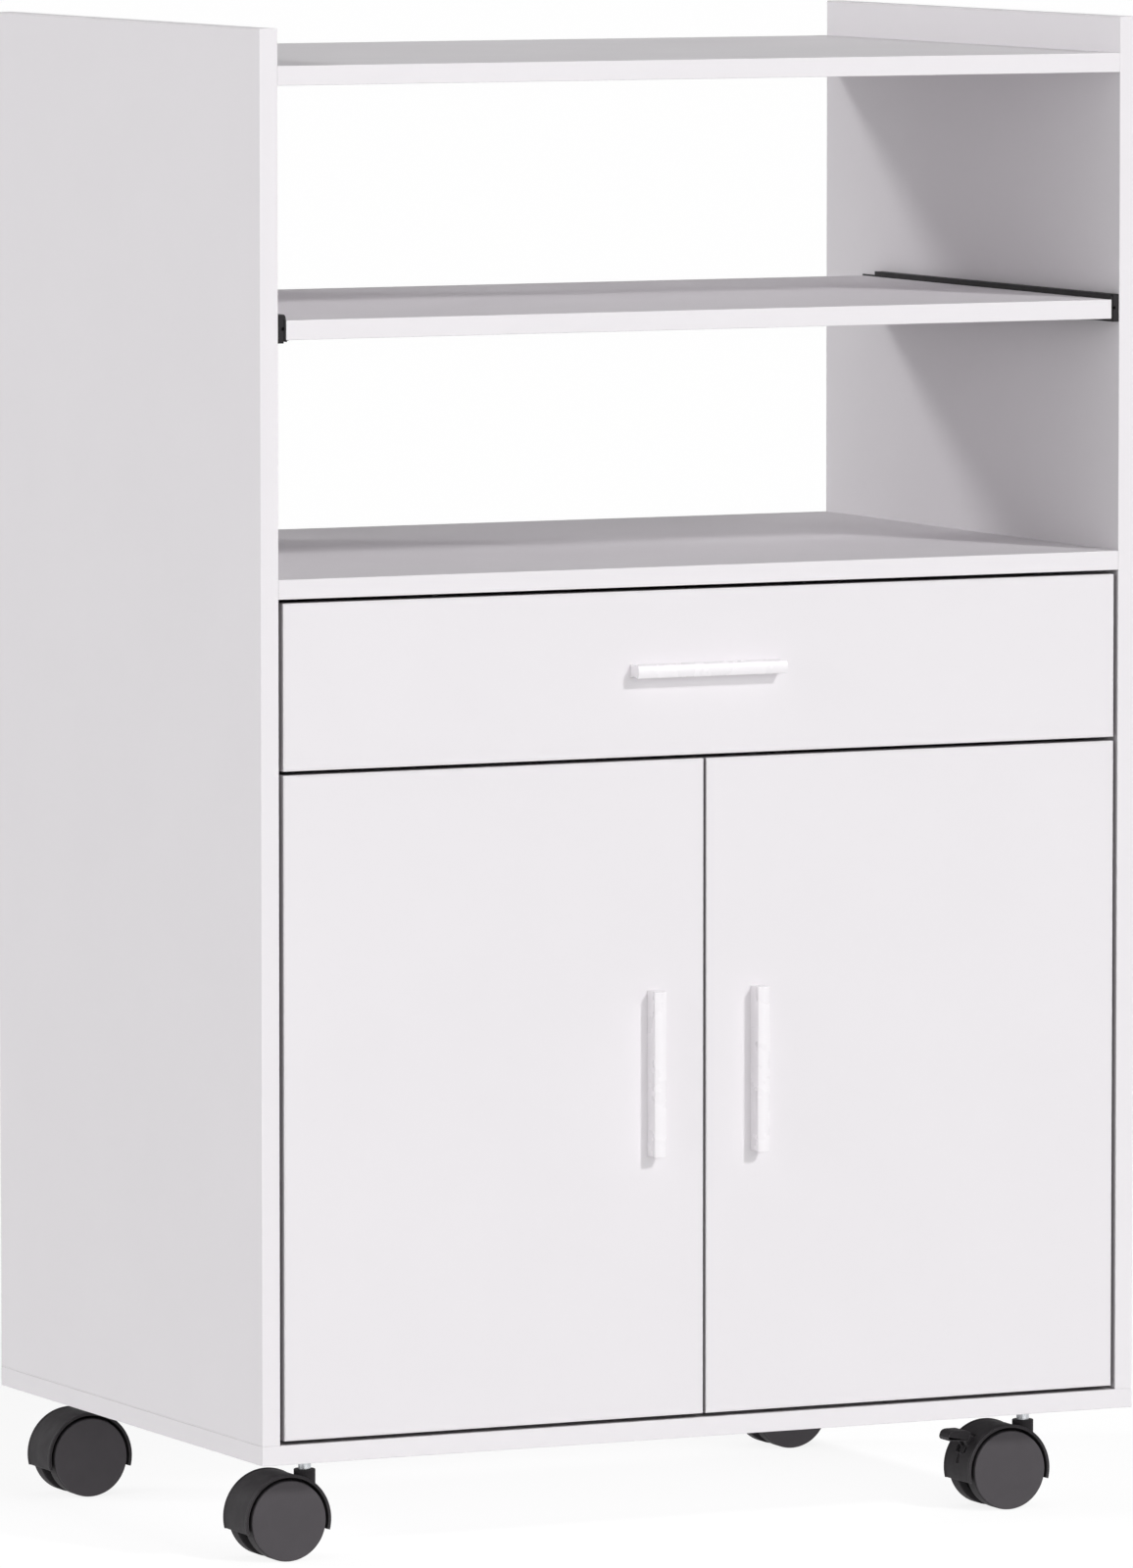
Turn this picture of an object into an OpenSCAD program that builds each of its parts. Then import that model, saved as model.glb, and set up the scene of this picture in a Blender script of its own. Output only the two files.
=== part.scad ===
// Microwave cart on four swivel casters, in millimetres.
// X runs from left to right seen from the front, Y from front to back and Z up.
// The origin is on the floor, under the middle of the cart with its handles.

/* [Cart] */
// Width over both side panels
cart_w = 600; // [480:1:900]
// Depth of the side panels
cart_d = 402; // [340:1:600]
// Height of the side panel tops above the floor
cart_h = 938; // [860:1:1200]
// Thickness of every board
board_t = 12; // [10:0.5:15]
// Small chamfer along the edges of a board
edge_chamfer = 0.4; // [0.2:0.1:1]
// Thickness of the back panel and of the drawer bottom
thin_t = 3; // [2:0.5:4]
// Distance from the rear edges to the back panel
back_inset = 9; // [5:0.5:14]
// Depth of the grooves that hold the thin panels
groove_depth = 5; // [3:0.5:7]

/* [Shelves] */
// Height of the side panels above the top shelf
top_inset = 22.5; // [5:0.5:60]
// Underside of the slide-out shelf above the floor
slide_shelf_z = 750; // [640:1:800]
// Rear edge of the slide-out shelf from the rear edges of the cart
slide_shelf_back = 62; // [30:1:120]
// Underside of the fixed shelf above the floor
fixed_shelf_z = 593; // [500:1:625]

/* [Drawer and doors] */
// Gap above and below the drawer front and the doors
front_gap = 2.5; // [1.5:0.5:4]
// Gap between the side panels and the fronts
side_gap = 3; // [2:0.5:5]
// Gap between the two doors
centre_gap = 2; // [1:0.5:4]
// Height of the drawer front
drawer_front_h = 102; // [90:1:160]
// Height of the drawer sides
drawer_side_h = 68; // [60:1:75]
// Underside of the drawer sides above the lower edge of the drawer front
drawer_side_rise = 12; // [6:1:14]
// Room between the drawer and the back panel
drawer_back_room = 28; // [15:1:90]
// Drawer bottom above the underside of the drawer sides
drawer_bottom_rise = 8; // [5:1:14]

/* [Handles] */
// Length of a handle
handle_len = 102.5; // [80:0.5:160]
// Width of a handle at its base and at its front
handle_w = 8.2; // [7:0.2:14]
// Width of a handle at its waist, where fingers grip
handle_waist = 6.6; // [5.6:0.2:7]
// Distance that a handle stands out from its board
handle_proj = 12; // [9:0.5:30]
// Rise of the domed front of a handle
handle_dome = 1; // [0.4:0.1:1.6]
// Distance between the two screws of a handle
handle_pitch = 64; // [40:1:70]
// Door handle from the door's inner edge
handle_from_edge = 34.5; // [20:0.5:80]
// Middle of the door handle above the middle of the door
handle_rise = 10; // [-60:1:60]

/* [Runners] */
// Rear end of the moving rails from the rear edge of the slide-out shelf
rail_short = 18; // [5:1:60]
// Length of the low tail behind the cabinet rail
rail_tail = 26; // [5:1:26]
// Height of a cabinet rail
rail_h = 17.4; // [16:0.2:24]
// Drop of a cabinet rail below the board that it carries
rail_drop = 2; // [1.6:0.1:4]
// Depth of the cabinet rail's channel
rail_channel = 4; // [3.8:0.1:8]
// Thickness of the rail steel
rail_steel = 1.2; // [0.8:0.1:1.4]
// Running clearance between the sliding pieces of a runner
slide_clear = 0.3; // [0.2:0.05:0.4]
// Width of the flange under the board that a moving rail carries
flange_w = 12; // [10:0.5:20]
// Length of a nylon glide
glide_len = 40; // [20:1:60]
// Setback of the shelf rails from the front edge of the cart
rail_setback = 0.5; // [0.3:0.1:5]

/* [Hinges] */
// Middle of a hinge from the end of the door
hinge_from_end = 70; // [40:1:120]
// Hinge pin from the outer edge of the door
pin_from_edge = 12; // [10:0.5:13]
// Hinge pin from the front face of the door
pin_from_face = 6; // [5:0.5:6.5]
// Diameter of the hinge pin
pin_d = 2.5; // [2:0.1:3]
// Diameter of the hinge cup
cup_d = 26; // [25:0.5:30]
// Hinge cup from the outer edge of the door
cup_from_edge = 3; // [2:0.5:5]
// Board left in front of the hinge cup
cup_skin = 1.5; // [1:0.1:2]
// Thickness of the hinge arm
arm_t = 2.5; // [2:0.1:3]
// Width of the hinge arm
arm_w = 10; // [8:0.5:14]
// Clearance of the hinge arm from the turning door
arm_clear = 1.2; // [1:0.1:3]

/* [Casters] */
// Height of the casters under the bottom panel
caster_h = 65; // [62:0.5:80]
// Stem of a caster from the side of the cart
caster_inset_x = 51; // [50:1:100]
// Stem of a caster from the front or the back of the cart
caster_inset_y = 50; // [46:1:100]
// Diameter of the wheels
wheel_d = 50; // [44:0.5:52]
// Distance from the stem to the wheel axle
trail = 18.5; // [16:0.5:22]
// Width of a caster over both wheels
caster_w = 37; // [36:0.5:48]
// Clearance between the wheels and the hood
hood_clear = 1; // [0.6:0.1:1.4]
// Wall of the hood
hood_wall = 2; // [1.4:0.1:3]
// Diameter of the stem socket
socket_d = 12.4; // [11.4:0.2:14]
// Height of the stem socket above the hood
socket_rise = 2.6; // [1:0.1:5]
// Diameter of the stem
stem_d = 8; // [7:0.5:9]
// Diameter of the wheel axle
axle_d = 6; // [4:0.5:7]
// Running clearance on the radius of a stem, a pin or an axle
run_clear = 0.05; // [0.03:0.01:0.1]

/* [Brake lever] */
// Width of the pedal
pedal_w = 13; // [11:0.5:20]
// Thickness of the pedal
pedal_t = 5.6; // [4:0.2:7]
// Length of the pedal
pedal_len = 14; // [10:0.5:22]

/* [Fittings] */
// Cam fittings from the front or rear edges of the cart
cam_from_edge = 60; // [40:1:75]
// Dowels from the front or rear edges of the cart
dowel_from_edge = 100; // [90:1:130]
// Outer screws of the bottom panel from the front or rear edges of the cart
base_screw_from_edge = 30; // [20:1:80]
// First screw of a cabinet rail from its front end
rail_screw_front = 60; // [50:1:90]
// Last screw of a cabinet rail from the end of its full section
rail_screw_back = 72; // [50:1:110]
// First screw of a rail's flange from its front end
flange_screw_front = 30; // [15:1:60]
// Last screw of a rail's flange from its rear end
flange_screw_back = 52; // [20:1:80]

/* [Hidden] */

$fn = 64;
// Overshoot of a cut past the face that it opens
past = 1;
// Clearance around a fastener in its hole
snug = 0.05;

white_board = [0.93, 0.93, 0.935];
white_plastic = [0.97, 0.97, 0.97];
black_nylon = [0.13, 0.13, 0.14];
black_steel = [0.08, 0.08, 0.09];
grey_nylon = [0.33, 0.33, 0.34];
zinc = [0.72, 0.73, 0.75];
beech = [0.83, 0.68, 0.47];

// Boards of the cabinet
half_w = cart_w / 2;
inner_x = half_w - board_t;
front_y = -(cart_d - handle_proj) / 2;
back_y = front_y + cart_d;
floor_z = caster_h + board_t;
top_shelf_z = cart_h - top_inset - board_t;
back_panel_y = back_y - back_inset - thin_t;
thin_clear = 0.15;

// Fronts
front_w = 2 * (inner_x - side_gap);
drawer_front_z = fixed_shelf_z - front_gap - drawer_front_h;
door_z = floor_z + front_gap;
door_h = drawer_front_z - front_gap - door_z;
door_w = (front_w - centre_gap) / 2;

// Runners
slide_shelf_d = cart_d - slide_shelf_back;
rail_len = slide_shelf_d - rail_short;
rail_t = rail_channel + slide_clear + rail_steel;
carried_x = inner_x - rail_t;
tongue_t = rail_steel;
tongue_reach = 1.5;
cap_t = 3;
rail_tail_rise = 0.6;
runner_len = rail_len + rail_tail;
drawer_rail_setback = board_t + 1;
shelf_rail_y = front_y + rail_setback;
drawer_rail_y = front_y + drawer_rail_setback;
rail_screw_offsets = [rail_screw_front, rail_len - rail_screw_back];
flange_screw_last = rail_len - flange_screw_back;
flange_screw_offsets = [flange_screw_front, (flange_screw_front + flange_screw_last) / 2, flange_screw_last];

// Drawer box
drawer_zb = drawer_front_z + drawer_side_rise;
drawer_box_y = front_y + board_t;
drawer_back_y = back_panel_y - drawer_back_room - board_t;
drawer_box_d = drawer_back_y + board_t - drawer_box_y;
drawer_bottom_z = drawer_zb + drawer_bottom_rise;
drawer_cam_low = 20.4;
drawer_cam_top = 15;
drawer_cam_rises = [drawer_cam_low, drawer_side_h - drawer_cam_top];
drawer_corner_low = 23.8;
drawer_corner_top = 13.6;
drawer_corner_rises = [drawer_corner_low, drawer_side_h - drawer_corner_top];
drawer_handle_rise = 2;
thin_play = 0.5;

// Cam fittings
cam_d = 12;
cam_skin = 2.5;
cam_h = board_t - cam_skin;
cam_reach = 24;
panel_skin = 4;
cam_thread_len = board_t - panel_skin;
cam_thread_r = 2.5;
cam_shank_r = 2.8;
cam_neck_r = 1.5;
cam_head_r = 2.4;
cam_head_t = 2.4;
cam_pocket_clear = 0.4;
cam_slot_share = 0.7;
cam_slot_w = 1.6;
cam_slot_d = 1.5;
dowel_r = 2.8;
dowel_in_panel = board_t - panel_skin;
dowel_in_shelf = 18;
cam_offsets = [cam_from_edge, cart_d - cam_from_edge];
dowel_offsets = [dowel_from_edge, cart_d - dowel_from_edge];

// Handle section
handle_lip = 1.4;
handle_foot = 1.2;
handle_flare = 0.3;
handle_undercut = 0.9;
handle_waist_share = 0.55;
handle_hole_end = 1;

// Screws
recess_share = 1.2;
wood_screw_r = 1.6;
wood_screw_head_r = 2.8;
wood_screw_head_h = 1.2;
wood_screw_len = 10;
flange_screw_len = 8;
corner_screw_len = 32;
corner_head_r = 3.4;
corner_head_h = 2.2;
base_screw_r = 2.5;
base_screw_len = 46;
base_head_r = 4.6;
base_head_h = 3;
base_screw_offsets = [base_screw_from_edge, cart_d / 2, cart_d - base_screw_from_edge];
m4_r = 2;
m4_head_r = 3.9;
m4_head_h = 2.4;
m4_grip = 6.5;
m4_clear = 0.25;
m4_slot_w = 1.2;
m4_slot_l = 4.7;
m4_slot_d = 1.4;

// Hinges
eye_wall = 1.5;
eye_r = pin_d / 2 + eye_wall;
leg_x = pin_from_edge + board_t - pin_from_face + arm_clear + arm_t / 2;
sweep_r = sqrt(pow(pin_from_edge, 2) + pow(board_t - pin_from_face, 2));
arm_y = pin_from_face + sweep_r + arm_clear + arm_t / 2;
cup_r = cup_d / 2;
cup_x = cup_from_edge + cup_r;
cup_wall = 0.8;
cup_flange_t = 0.8;
cup_flange_w = 16;
cup_peg_r = 4;
cup_peg_from_cup = 5.5;
cup_peg_len = board_t - panel_skin;
cup_flange_end = 1.5;
plate_t = 2;
plate_len = 34;
plate_margin = 4;
plate_screw_first = 11;
plate_screw_pitch = 15;
plate_screw_offsets = [plate_screw_first, plate_screw_first + plate_screw_pitch];
hinge_rises = [hinge_from_end, door_h - hinge_from_end];
pin_end_gap = 0.15;
pin_half = sqrt(pow(cup_r, 2) - pow(cup_x - pin_from_edge + pin_d / 2, 2)) - pin_end_gap;

// Casters
wheel_r = wheel_d / 2;
hood_in_r = wheel_r + hood_clear;
hood_r = hood_in_r + hood_wall;
socket_r = socket_d / 2;
socket_gap = 0.4;
wheel_in_y = socket_r + socket_gap;
wheel_w = caster_w / 2 - wheel_in_y;
socket_top = wheel_r + hood_r + socket_rise;
socket_above_axle = 5;
socket_bottom = wheel_r + socket_above_axle;
stem_end_gap = 0.5;
stem_bottom = socket_bottom + stem_end_gap;
stem_top_gap = 1;
stem_top = floor_z - stem_top_gap;
collar_t = 3;
collar_af = 13;
sleeve_wall = 1.6;
sleeve_r = stem_d / 2 + sleeve_wall;
sleeve_flange_w = 5;
sleeve_flange_r = stem_d / 2 + sleeve_flange_w;
sleeve_short = 0.5;
sleeve_flange_t = 1;
axle_r = axle_d / 2;
axle_wheel_share = 0.7;
axle_half = wheel_in_y + wheel_w * axle_wheel_share;
axle_end_gap = 0.1;
hub_wall = 4;
hub_r = axle_r + hub_wall;
wheel_dome = 0.7;
wheel_rim_t = 4;
wheel_pocket_share = 0.58;
wheel_pocket = wheel_w * wheel_pocket_share;
wheel_edge = 0.8;
hood_web_t = 5;
hood_hub_wall = 3;
hood_hub_r = axle_r + hood_hub_wall;
hood_hub_gap = 0.3;
hood_drop_stem = 5;
hood_drop_tail = 8;
hood_rim_round = 0.7;
stem_x = half_w - caster_inset_x;
stem_front_y = front_y + caster_inset_y;
stem_back_y = back_y - caster_inset_y;

// Brake lever, seen from the front with the axle as the origin
pivot_back = 12;
pivot_up = 13;
pivot_x = -pivot_back;
pivot_z = pivot_up;
boss_r = 2;
lever_eye_wall = 2.2;
lever_eye_r = boss_r + lever_eye_wall;
fork_gap = 0.5;
fork_t = 3;
fork_h = 5.6;
pedal_in_hood = 2.6;
pedal_x = -(hood_r - pedal_in_hood);
pedal_above_axle = 18.5;
pedal_z = pedal_above_axle;
pedal_low = pedal_z - pedal_t / 2;
pedal_nose = 2;
pedal_heel = 0.6;
pedal_crest = 3;
pedal_crest_rise = 1.2;
fork_len = sqrt(pow(pedal_x - pivot_x, 2) + pow(pedal_z - pivot_z, 2));
fork_angle = atan2(pedal_z - pivot_z, pivot_x - pedal_x);
shoe_r = 1.8;
shoe_from_pivot_x = 5;
shoe_from_pivot_z = 3;
shoe_x = pivot_x + shoe_from_pivot_x;
shoe_z = pivot_z + shoe_from_pivot_z;
shoe_len = 4;
fork_in_y = hood_web_t / 2 + fork_gap;
fork_out_y = fork_in_y + fork_t;
window_clear = 0.6;
window_w = 4;
window_h = 7;
window_z = 6.7;
fork_window_low = 10.6;
fork_window_side = 12.3;

// ---------------------------------------------------------------- shapes that repeat

// Outline of a rectangle with its corners cut by c
function cut_rect(w, h, c) =
  [[c, 0], [w - c, 0], [w, c], [w, h - c], [w - c, h], [c, h], [0, h - c], [0, c]];

// Board between two corners, with all its edges chamfered
module board(low, high, c = edge_chamfer) {
  size = high - low;
  translate(low)
    intersection() {
      linear_extrude(size.z) polygon(cut_rect(size.x, size.y, c));
      rotate([90, 0, 90]) linear_extrude(size.x) polygon(cut_rect(size.y, size.z, c));
      translate([0, size.y, 0]) rotate([90, 0, 0])
        linear_extrude(size.y) polygon(cut_rect(size.x, size.z, c));
    }
}

// Plain block between two corners
module block(low, high) {
  translate(low) cube(high - low);
}

// Cylinder along X, from the origin
module rod_x(r, len) {
  rotate([0, 90, 0]) cylinder(r = r, h = len);
}

// Cylinder along Y, centred on the origin
module rod_y(r, len) {
  rotate([90, 0, 0]) cylinder(r = r, h = len, center = true);
}

module both_sides() {
  children();
  mirror([1, 0, 0]) children();
}

// Countersunk screw along X, its head's face at the origin, with a cross recess
module screw(r, len, head_r, head_h) {
  recess_w = r / 2;
  recess_l = head_r * recess_share;
  recess_d = head_h / 2;
  difference() {
    union() {
      rotate([0, 90, 0]) cylinder(r1 = head_r, r2 = r, h = head_h);
      translate([head_h, 0, 0]) rod_x(r, len - head_h);
    }
    for (turn = [0, 90])
      rotate([turn, 0, 0])
        block([-past, -recess_w / 2, -recess_l / 2], [recess_d, recess_w / 2, recess_l / 2]);
  }
}

// Hole that a countersunk screw leaves
module screw_hole(r, len, head_r, head_h) {
  rotate([0, 90, 0]) cylinder(r1 = head_r + snug, r2 = r + snug, h = head_h);
  rod_x(r + snug, len + snug);
  translate([-past, 0, 0]) rod_x(head_r + snug, past);
}

module wood_screw(len = wood_screw_len) {
  screw(wood_screw_r, len, wood_screw_head_r, wood_screw_head_h);
}

module wood_screw_hole(len = wood_screw_len) {
  screw_hole(wood_screw_r, len, wood_screw_head_r, wood_screw_head_h);
}

module corner_screw() {
  screw(wood_screw_r, corner_screw_len, corner_head_r, corner_head_h);
}

module corner_screw_hole() {
  screw_hole(wood_screw_r, corner_screw_len, corner_head_r, corner_head_h);
}

// Cam bolt along X: its thread is behind the origin and its head in the cam
module cam_bolt() {
  neck_start = cam_reach - cam_d / 2;
  translate([-cam_thread_len, 0, 0]) rod_x(cam_thread_r, cam_thread_len + snug);
  rod_x(cam_shank_r, neck_start);
  translate([neck_start - snug, 0, 0]) rod_x(cam_neck_r, cam_d / 2 - cam_head_t / 2 + 2 * snug);
  translate([cam_reach - cam_head_t / 2, 0, 0]) rod_x(cam_head_r, cam_head_t);
}

// Cam lock around the bolt's head, its open face at height zero
module cam_lock() {
  pocket_r = cam_head_r + cam_pocket_clear;
  slot_half = cam_d * cam_slot_share / 2;
  difference() {
    cylinder(d = cam_d, h = cam_h);
    translate([-cam_d, 0, board_t / 2])
      rod_x(pocket_r, cam_d + cam_head_t / 2 + cam_pocket_clear);
    block([-slot_half, -cam_slot_w / 2, -past], [slot_half, cam_slot_w / 2, cam_slot_d]);
  }
}

// Holes for a cam bolt and its cam in the board that holds the cam
module cam_cut() {
  translate([-past, 0, board_t / 2]) rod_x(cam_shank_r + snug, cam_reach + past);
  translate([cam_reach, 0, -past]) cylinder(d = cam_d + 2 * snug, h = cam_h + past);
}

// Places of the cams or dowels on the end of a fixed shelf, on the right side
module shelf_end(z, offsets) {
  for (offset = offsets)
    translate([inner_x, front_y + offset, z]) mirror([1, 0, 0]) children();
}

// Fixed shelf across the cabinet, with the holes in its ends and underside
module cross_shelf(z) {
  difference() {
    board([-inner_x, front_y, z], [inner_x, back_y, z + board_t]);
    both_sides() {
      shelf_end(z, cam_offsets) cam_cut();
      shelf_end(z + board_t / 2, dowel_offsets)
        translate([-past, 0, 0]) rod_x(dowel_r + snug, dowel_in_shelf + past + snug);
    }
  }
}

// Bar handle along X, standing out to -Y from its board, with a waist and a domed front
module handle_bar() {
  half_base = handle_w / 2;
  half_waist = handle_waist / 2;
  waist_v = handle_proj * handle_waist_share;
  lip_v = handle_proj - handle_dome - handle_lip;
  steps = 8;
  dome = [for (i = [0:steps])
    let (u = half_base * (1 - 2 * i / steps))
    [u, handle_proj - handle_dome * pow(u / half_base, 2)]];
  side = [[half_base, 0], [half_base - handle_flare, handle_foot],
    [half_waist + handle_flare, waist_v - handle_foot], [half_waist, waist_v],
    [half_waist, lip_v - handle_undercut], [half_base, lip_v]];
  other_side = [for (i = [len(side) - 1:-1:0]) [-side[i].x, side[i].y]];
  difference() {
    translate([-handle_len / 2, 0, 0])
      rotate([90, 0, 90]) linear_extrude(handle_len)
        polygon([for (p = concat(side, dome, other_side)) [-p.y, p.x]]);
    handle_screw_places() rod_y(m4_r + snug, 2 * (m4_grip + handle_hole_end));
  }
}

module handle_screw_places() {
  for (side = [-1, 1])
    translate([side * handle_pitch / 2, 0, 0]) children();
}

// Two pan head screws of a handle, through a board whose front face is at y = 0
module handle_screws() {
  handle_screw_places()
    difference() {
      union() {
        translate([0, (board_t - m4_grip) / 2, 0]) rod_y(m4_r, board_t + m4_grip);
        translate([0, board_t + m4_head_h / 2, 0]) rod_y(m4_head_r, m4_head_h);
      }
      for (turn = [0, 90])
        rotate([0, turn, 0])
          block([-m4_slot_l / 2, board_t + m4_head_h - m4_slot_d, -m4_slot_w / 2],
            [m4_slot_l / 2, board_t + m4_head_h + past, m4_slot_w / 2]);
    }
}

module handle_screw_holes() {
  handle_screw_places()
    translate([0, board_t / 2, 0]) rod_y(m4_r + m4_clear, board_t + 2 * past);
}

// ---------------------------------------------------------------- cabinet

module back_groove() {
  block([inner_x - past, back_panel_y - thin_clear, floor_z - past],
    [inner_x + groove_depth, back_panel_y + thin_t + thin_clear, fixed_shelf_z]);
}

// Right side panel, with the holes of all that is fixed to it
module side_panel() {
  difference() {
    board([inner_x, front_y, floor_z], [half_w, back_y, cart_h]);
    back_groove();
    for (z = [top_shelf_z, fixed_shelf_z]) {
      shelf_end(z + board_t / 2, cam_offsets)
        translate([-cam_thread_len, 0, 0]) rod_x(cam_thread_r + snug, cam_thread_len + past);
      shelf_end(z + board_t / 2, dowel_offsets)
        translate([-dowel_in_panel - snug, 0, 0]) rod_x(dowel_r + snug, dowel_in_panel + past);
    }
    base_screw_places()
      rotate([0, -90, 0]) rod_x(base_screw_r + snug, base_screw_len + snug);
    rail_screw_places() mirror([1, 0, 0]) wood_screw_hole();
    mirror([1, 0, 0])
      left_door_place()
        hinge_places() plate_screw_places() wood_screw_hole();
  }
}

module side_panel_right() {
  color(white_board) side_panel();
}

module side_panel_left() {
  color(white_board) mirror([1, 0, 0]) side_panel();
}

module top_shelf() {
  color(white_board) cross_shelf(top_shelf_z);
}

module fixed_shelf() {
  color(white_board) cross_shelf(fixed_shelf_z);
}

// Places of the long screws in the right side panel, at the underside of the bottom panel
module base_screw_places() {
  for (offset = base_screw_offsets)
    translate([half_w - board_t / 2, front_y + offset, caster_h]) children();
}

// Places of the four stems, on the floor: children get the side and the row
module caster_places() {
  for (x = [-stem_x, stem_x])
    for (y = [stem_front_y, stem_back_y])
      translate([x, y, 0]) children();
}

module bottom_panel() {
  color(white_board)
    difference() {
      board([-half_w, front_y, caster_h], [half_w, back_y, floor_z]);
      both_sides()
        base_screw_places() rotate([0, -90, 0])
          screw_hole(base_screw_r, board_t + past, base_head_r, base_head_h);
      caster_places()
        translate([0, 0, caster_h - past]) cylinder(r = sleeve_r + snug, h = board_t + 2 * past);
    }
}

module back_panel() {
  reach = inner_x + groove_depth - thin_play;
  color(white_board)
    block([-reach, back_panel_y, floor_z], [reach, back_panel_y + thin_t, fixed_shelf_z - thin_play]);
}

module cam_bolts() {
  color(zinc)
    both_sides()
      for (z = [top_shelf_z, fixed_shelf_z])
        shelf_end(z + board_t / 2, cam_offsets) cam_bolt();
}

module cam_locks() {
  color(zinc)
    both_sides()
      for (z = [top_shelf_z, fixed_shelf_z])
        shelf_end(z, cam_offsets) translate([cam_reach, 0, 0]) cam_lock();
}

module wood_dowels() {
  color(beech)
    both_sides()
      for (z = [top_shelf_z, fixed_shelf_z])
        shelf_end(z + board_t / 2, dowel_offsets)
          translate([-dowel_in_panel, 0, 0]) rod_x(dowel_r, dowel_in_panel + dowel_in_shelf);
}

module base_screws() {
  color(zinc)
    both_sides()
      base_screw_places() rotate([0, -90, 0])
        screw(base_screw_r, base_screw_len, base_head_r, base_head_h);
}

// Places of the rail screws on the right side, with X pointing into the cabinet
module rail_screw_places() {
  for (rail = [[shelf_rail_y, slide_shelf_z], [drawer_rail_y, drawer_zb]])
    for (offset = rail_screw_offsets)
      translate([inner_x - rail_steel, rail[0] + offset, rail[1] - rail_drop + rail_h / 2])
        mirror([1, 0, 0]) children();
}

// Screws of the rails and of the hinge arms, all of one kind
module hardware_screws() {
  color(zinc) {
    both_sides()
      rail_screw_places() mirror([1, 0, 0]) wood_screw();
    both_sides()
      left_door_place()
        hinge_places() plate_screw_places() wood_screw();
  }
}

// ---------------------------------------------------------------- runners

// Right cabinet rail: a channel open towards the cart's middle, with a low tail
module cabinet_rail(y, zb) {
  z = zb - rail_drop;
  difference() {
    union() {
      block([inner_x - rail_channel, y + cap_t, z], [inner_x, y + rail_len, z + rail_h]);
      block([inner_x - rail_channel, y + rail_len - past, z],
        [inner_x, y + runner_len, zb + board_t + rail_tail_rise]);
    }
    block([inner_x - rail_channel - past, y, z + rail_steel],
      [inner_x - rail_steel, y + rail_len, z + rail_h - rail_steel]);
    block([inner_x - rail_channel - past, y + rail_len - past, z + rail_steel],
      [inner_x - rail_steel, y + runner_len + past, z + 2 * rail_h]);
  }
}

module cabinet_rails() {
  color(black_steel)
    both_sides()
      difference() {
        union() {
          cabinet_rail(shelf_rail_y, slide_shelf_z);
          cabinet_rail(drawer_rail_y, drawer_zb);
        }
        rail_screw_places() mirror([1, 0, 0]) wood_screw_hole();
      }
}

// Front glide of the right cabinet rail: an end cap with a slotted guide for the tongue
module cabinet_glide(y, zb) {
  z = zb - rail_drop;
  tongue_z = z + rail_h / 2;
  difference() {
    union() {
      block([inner_x - rail_channel, y, z], [inner_x, y + cap_t, z + rail_h]);
      block([inner_x - rail_channel, y + cap_t - past, z + rail_steel],
        [inner_x - rail_steel, y + glide_len, z + rail_h - rail_steel]);
    }
    block([inner_x - rail_channel - past, y - past, tongue_z - tongue_t / 2 - slide_clear],
      [inner_x - rail_channel + tongue_reach, y + glide_len + past,
        tongue_z + tongue_t / 2 + slide_clear]);
  }
}

module cabinet_glides() {
  color(black_nylon)
    both_sides() {
      cabinet_glide(shelf_rail_y, slide_shelf_z);
      cabinet_glide(drawer_rail_y, drawer_zb);
    }
}

// Right moving rail: a web beside the board, a flange under it and a tongue in the channel
module moving_rail(y, zb) {
  z = zb - rail_drop;
  tongue_z = z + rail_h / 2;
  web_x = carried_x + rail_steel;
  difference() {
    union() {
      block([carried_x, y, zb - rail_steel], [web_x, y + rail_len, z + rail_h]);
      block([carried_x - flange_w, y, zb - rail_steel], [web_x, y + rail_len, zb]);
      block([carried_x, y + cap_t, tongue_z - tongue_t / 2],
        [web_x + tongue_reach, y + rail_len, tongue_z + tongue_t / 2]);
    }
    flange_screw_places(y, zb) wood_screw_hole(flange_screw_len);
  }
}

// Places of the screws in the flange of the right moving rail, pointing up
module flange_screw_places(y, zb) {
  for (offset = flange_screw_offsets)
    translate([carried_x - flange_w / 2, y + offset, zb - rail_steel])
      rotate([0, -90, 0]) children();
}

// Rear glide on the tongue of the right moving rail
module moving_glide(y, zb) {
  z = zb - rail_drop;
  tongue_z = z + rail_h / 2;
  web_x = carried_x + rail_steel;
  difference() {
    block([web_x, y + rail_len - glide_len, z + rail_steel + slide_clear],
      [inner_x - rail_steel - slide_clear, y + rail_len, z + rail_h - rail_steel - slide_clear]);
    block([web_x - past, y, tongue_z - tongue_t / 2],
      [web_x + tongue_reach, y + rail_len + past, tongue_z + tongue_t / 2]);
  }
}

// ---------------------------------------------------------------- slide-out shelf

module slide_shelf() {
  color(white_board)
    difference() {
      board([-carried_x, front_y, slide_shelf_z],
        [carried_x, front_y + slide_shelf_d, slide_shelf_z + board_t]);
      both_sides()
        flange_screw_places(shelf_rail_y, slide_shelf_z) wood_screw_hole(flange_screw_len);
    }
}

module shelf_rails() {
  color(black_steel) both_sides() moving_rail(shelf_rail_y, slide_shelf_z);
}

module shelf_glides() {
  color(black_nylon) both_sides() moving_glide(shelf_rail_y, slide_shelf_z);
}

module shelf_screws() {
  color(zinc)
    both_sides()
      flange_screw_places(shelf_rail_y, slide_shelf_z) wood_screw(flange_screw_len);
}

// ---------------------------------------------------------------- drawer

// Places of the drawer's cams on the right side, X along the side from the drawer front
module drawer_cam_places() {
  for (rise = drawer_cam_rises)
    translate([carried_x - board_t, drawer_box_y, drawer_zb + rise])
      rotate([0, 0, 90]) rotate([-90, 0, 0]) children();
}

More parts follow.
